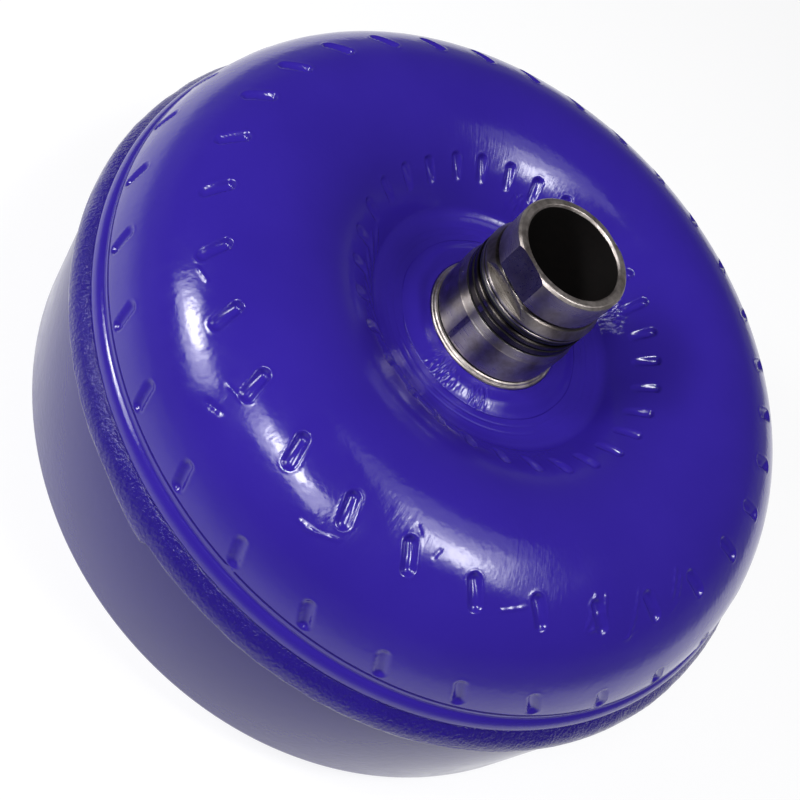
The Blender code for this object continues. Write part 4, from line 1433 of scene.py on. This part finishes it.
@dataclass
class InnerWorks:
    """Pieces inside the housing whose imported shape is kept: each gets the finish it really has."""

    finishes: dict[str, Coat] = field(default_factory=lambda: {
        "blade_set": Coat.PRESSED, "turbine_shell": Coat.PRESSED, "turbine_hub": Coat.TURNED,
        "damper_hub_plate": Coat.PRESSED, "damper_drive_plate": Coat.PRESSED,
        "damper_retainer_plate": Coat.PRESSED, "damper_spacer": Coat.MILLED, "damper_spring": Coat.SPRING,
        "lockup_piston": Coat.PRESSED, "friction_lining": Coat.PAPER, "piston_seal_ring": Coat.GROUND,
        "thrust_race": Coat.GROUND, "needle_cage": Coat.GROUND, "inner_race": Coat.GROUND,
        "stator_wheel": Coat.CAST, "clutch_front_cap": Coat.CAST, "clutch_rear_cap": Coat.CAST,
        "cam_race": Coat.GROUND, "snap_ring": Coat.SPRING, "roller": Coat.GROUND})

    def build(self) -> None:
        """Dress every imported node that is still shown."""
        for name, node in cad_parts.items():
            if node.hide_render:
                continue
            coat = next((coat for part, coat in self.finishes.items() if part in name), Coat.PRESSED)
            node.data.materials.clear()
            node.data.materials.append(coat.value.material())
            LOG.info("%s keeps its packed shape, in %s", name, coat.value.name)


# ---------------------------------------------------------------- studio

@dataclass
class Softbox:
    """A square light with a soft edge, aimed at the converter."""

    name: str
    height_deg: float
    turn_deg: float
    distance: float         # metres
    size: tuple[float, float]
    power: float
    roll_deg: float = 0.0

    def build(self, target: Vector) -> None:
        """Hang the light and aim it.

        Args:
            target: point that it faces, in metres.
        """
        light = bpy.data.lights.new(self.name, "AREA")
        light.shape = "RECTANGLE"
        light.size, light.size_y = self.size
        light.energy = self.power
        lamp = bpy.data.objects.new(self.name, light)
        bpy.context.scene.collection.objects.link(lamp)
        height, turn = math.radians(self.height_deg), math.radians(self.turn_deg)
        direction = Vector((math.cos(height) * math.cos(turn), math.cos(height) * math.sin(turn),
                            math.sin(height)))
        lamp.location = target + direction * self.distance
        aim = direction.to_track_quat("Z", "Y").to_matrix()
        lamp.rotation_euler = (aim @ Matrix.Rotation(math.radians(self.roll_deg), 3, "Z")).to_euler()


@dataclass
class Studio:
    """White table, soft lights and the camera."""

    height_deg: float = 50.46       # of the camera over the table
    roll_deg: float = -48.12
    distance_mm: float = 462.0
    aim_mm: tuple[float, float, float] = (-2.44, -21.05, 65.6)
    lens_mm: float = 50.46
    sensor_mm: float = 36.0
    wall_glow: float = 0.22         # of the room's walls near the horizon
    room_glow: float = 0.06         # of the rest
    lights: tuple[Softbox, ...] = (
        Softbox("Overhead_Lamp", 67.5, -4.5, 1.4, (0.25, 0.25), 3.1, 27.0),
        Softbox("Overhead_Softbox", 68.2, 5.0, 1.45, (0.56, 0.46), 3.4, 27.0),
        Softbox("Overhead_Screen", 69.0, 16.0, 1.5, (0.98, 0.72), 2.4, 27.0),
        Softbox("Left_Lamp", 31.0, -145.0, 1.2, (0.24, 0.13), 2.6),
        Softbox("Left_Softbox", 30.0, -143.0, 1.25, (0.56, 0.33), 4.0),
        Softbox("Front_Lamp", 55.0, -102.0, 1.2, (0.26, 0.12), 2.6),
        Softbox("Front_Softbox", 53.0, -101.0, 1.3, (0.58, 0.32), 4.0))

    def build(self) -> None:
        """Set up the table, lights, surroundings and camera."""
        low = CAD_BOUNDS[0]
        self.table(float(low[2]))
        target = Vector((0, 0, float(low[2] + CAD_BOUNDS[1][2]) / 2))
        for light in self.lights:
            light.build(target)
        self.surroundings()
        self.camera()
        bpy.context.scene.view_settings.view_transform = "Standard"

    def table(self, height: float) -> None:
        """Lay the table top.

        Args:
            height: where the converter stands, in metres.
        """
        bm = bmesh.new()
        bmesh.ops.create_circle(bm, cap_ends=True, segments=96, radius=6.0)
        bmesh.ops.inset_region(bm, faces=bm.faces[:], thickness=3.0)
        bmesh.ops.translate(bm, verts=bm.verts, vec=(0, 0, height - 0.0002))
        mesh = bpy.data.meshes.new("Table")
        bm.to_mesh(mesh)
        bm.free()
        mesh.materials.append(Coat.TABLE.value.material())
        top = bpy.data.objects.new("Table", mesh)
        bpy.context.scene.collection.objects.link(top)

    def surroundings(self) -> None:
        """Make a dark room whose walls glow near the horizon, as a white sweep does."""
        world = bpy.data.worlds.new("Studio")
        bpy.context.scene.world = world
        world.use_nodes = True
        tree = world.node_tree
        tree.nodes.clear()
        place = add_node(tree, "ShaderNodeTexCoord").outputs["Generated"]
        split = add_node(tree, "ShaderNodeSeparateXYZ", inputs={0: place})
        fade = add_node(tree, "ShaderNodeMapRange", {"interpolation_type": "SMOOTHSTEP"}, {
            "Value": split.outputs["Z"], "From Min": -0.02, "From Max": 0.3,
            "To Min": self.wall_glow, "To Max": self.room_glow})
        glow = add_node(tree, "ShaderNodeBackground", inputs={
            "Color": linear("#F4F3FA"), "Strength": fade.outputs["Result"]})
        add_node(tree, "ShaderNodeOutputWorld", inputs={"Surface": glow.outputs[0]})

    def camera(self) -> None:
        """Place the camera over the hub side, rolled as it was held."""
        lens = bpy.data.cameras.new("Camera")
        lens.lens = self.lens_mm
        lens.sensor_width = self.sensor_mm
        lens.clip_start = 0.01
        holder = bpy.data.objects.new("Camera", lens)
        bpy.context.scene.collection.objects.link(holder)
        height = math.radians(self.height_deg)
        back = Vector((0, -math.cos(height), math.sin(height)))
        holder.location = (Vector(self.aim_mm) + back * self.distance_mm) * MM
        level = Matrix.Rotation(math.pi / 2 - height, 3, "X")
        holder.rotation_euler = (level @ Matrix.Rotation(math.radians(-self.roll_deg), 3, "Z")).to_euler()
        bpy.context.scene.camera = holder


def main() -> None:
    """Build every sub-assembly in order."""
    logging.basicConfig(level=logging.INFO, format="%(name)s: %(message)s")
    for assembly in (Studio(), ImpellerShell(), ClosingWeld(), FrontCover(), DrivePads(), PumpHub(),
                     InnerWorks()):
        assembly.build()
        LOG.info("%s is done", type(assembly).__name__)


if __name__ == "__main__":
    main()
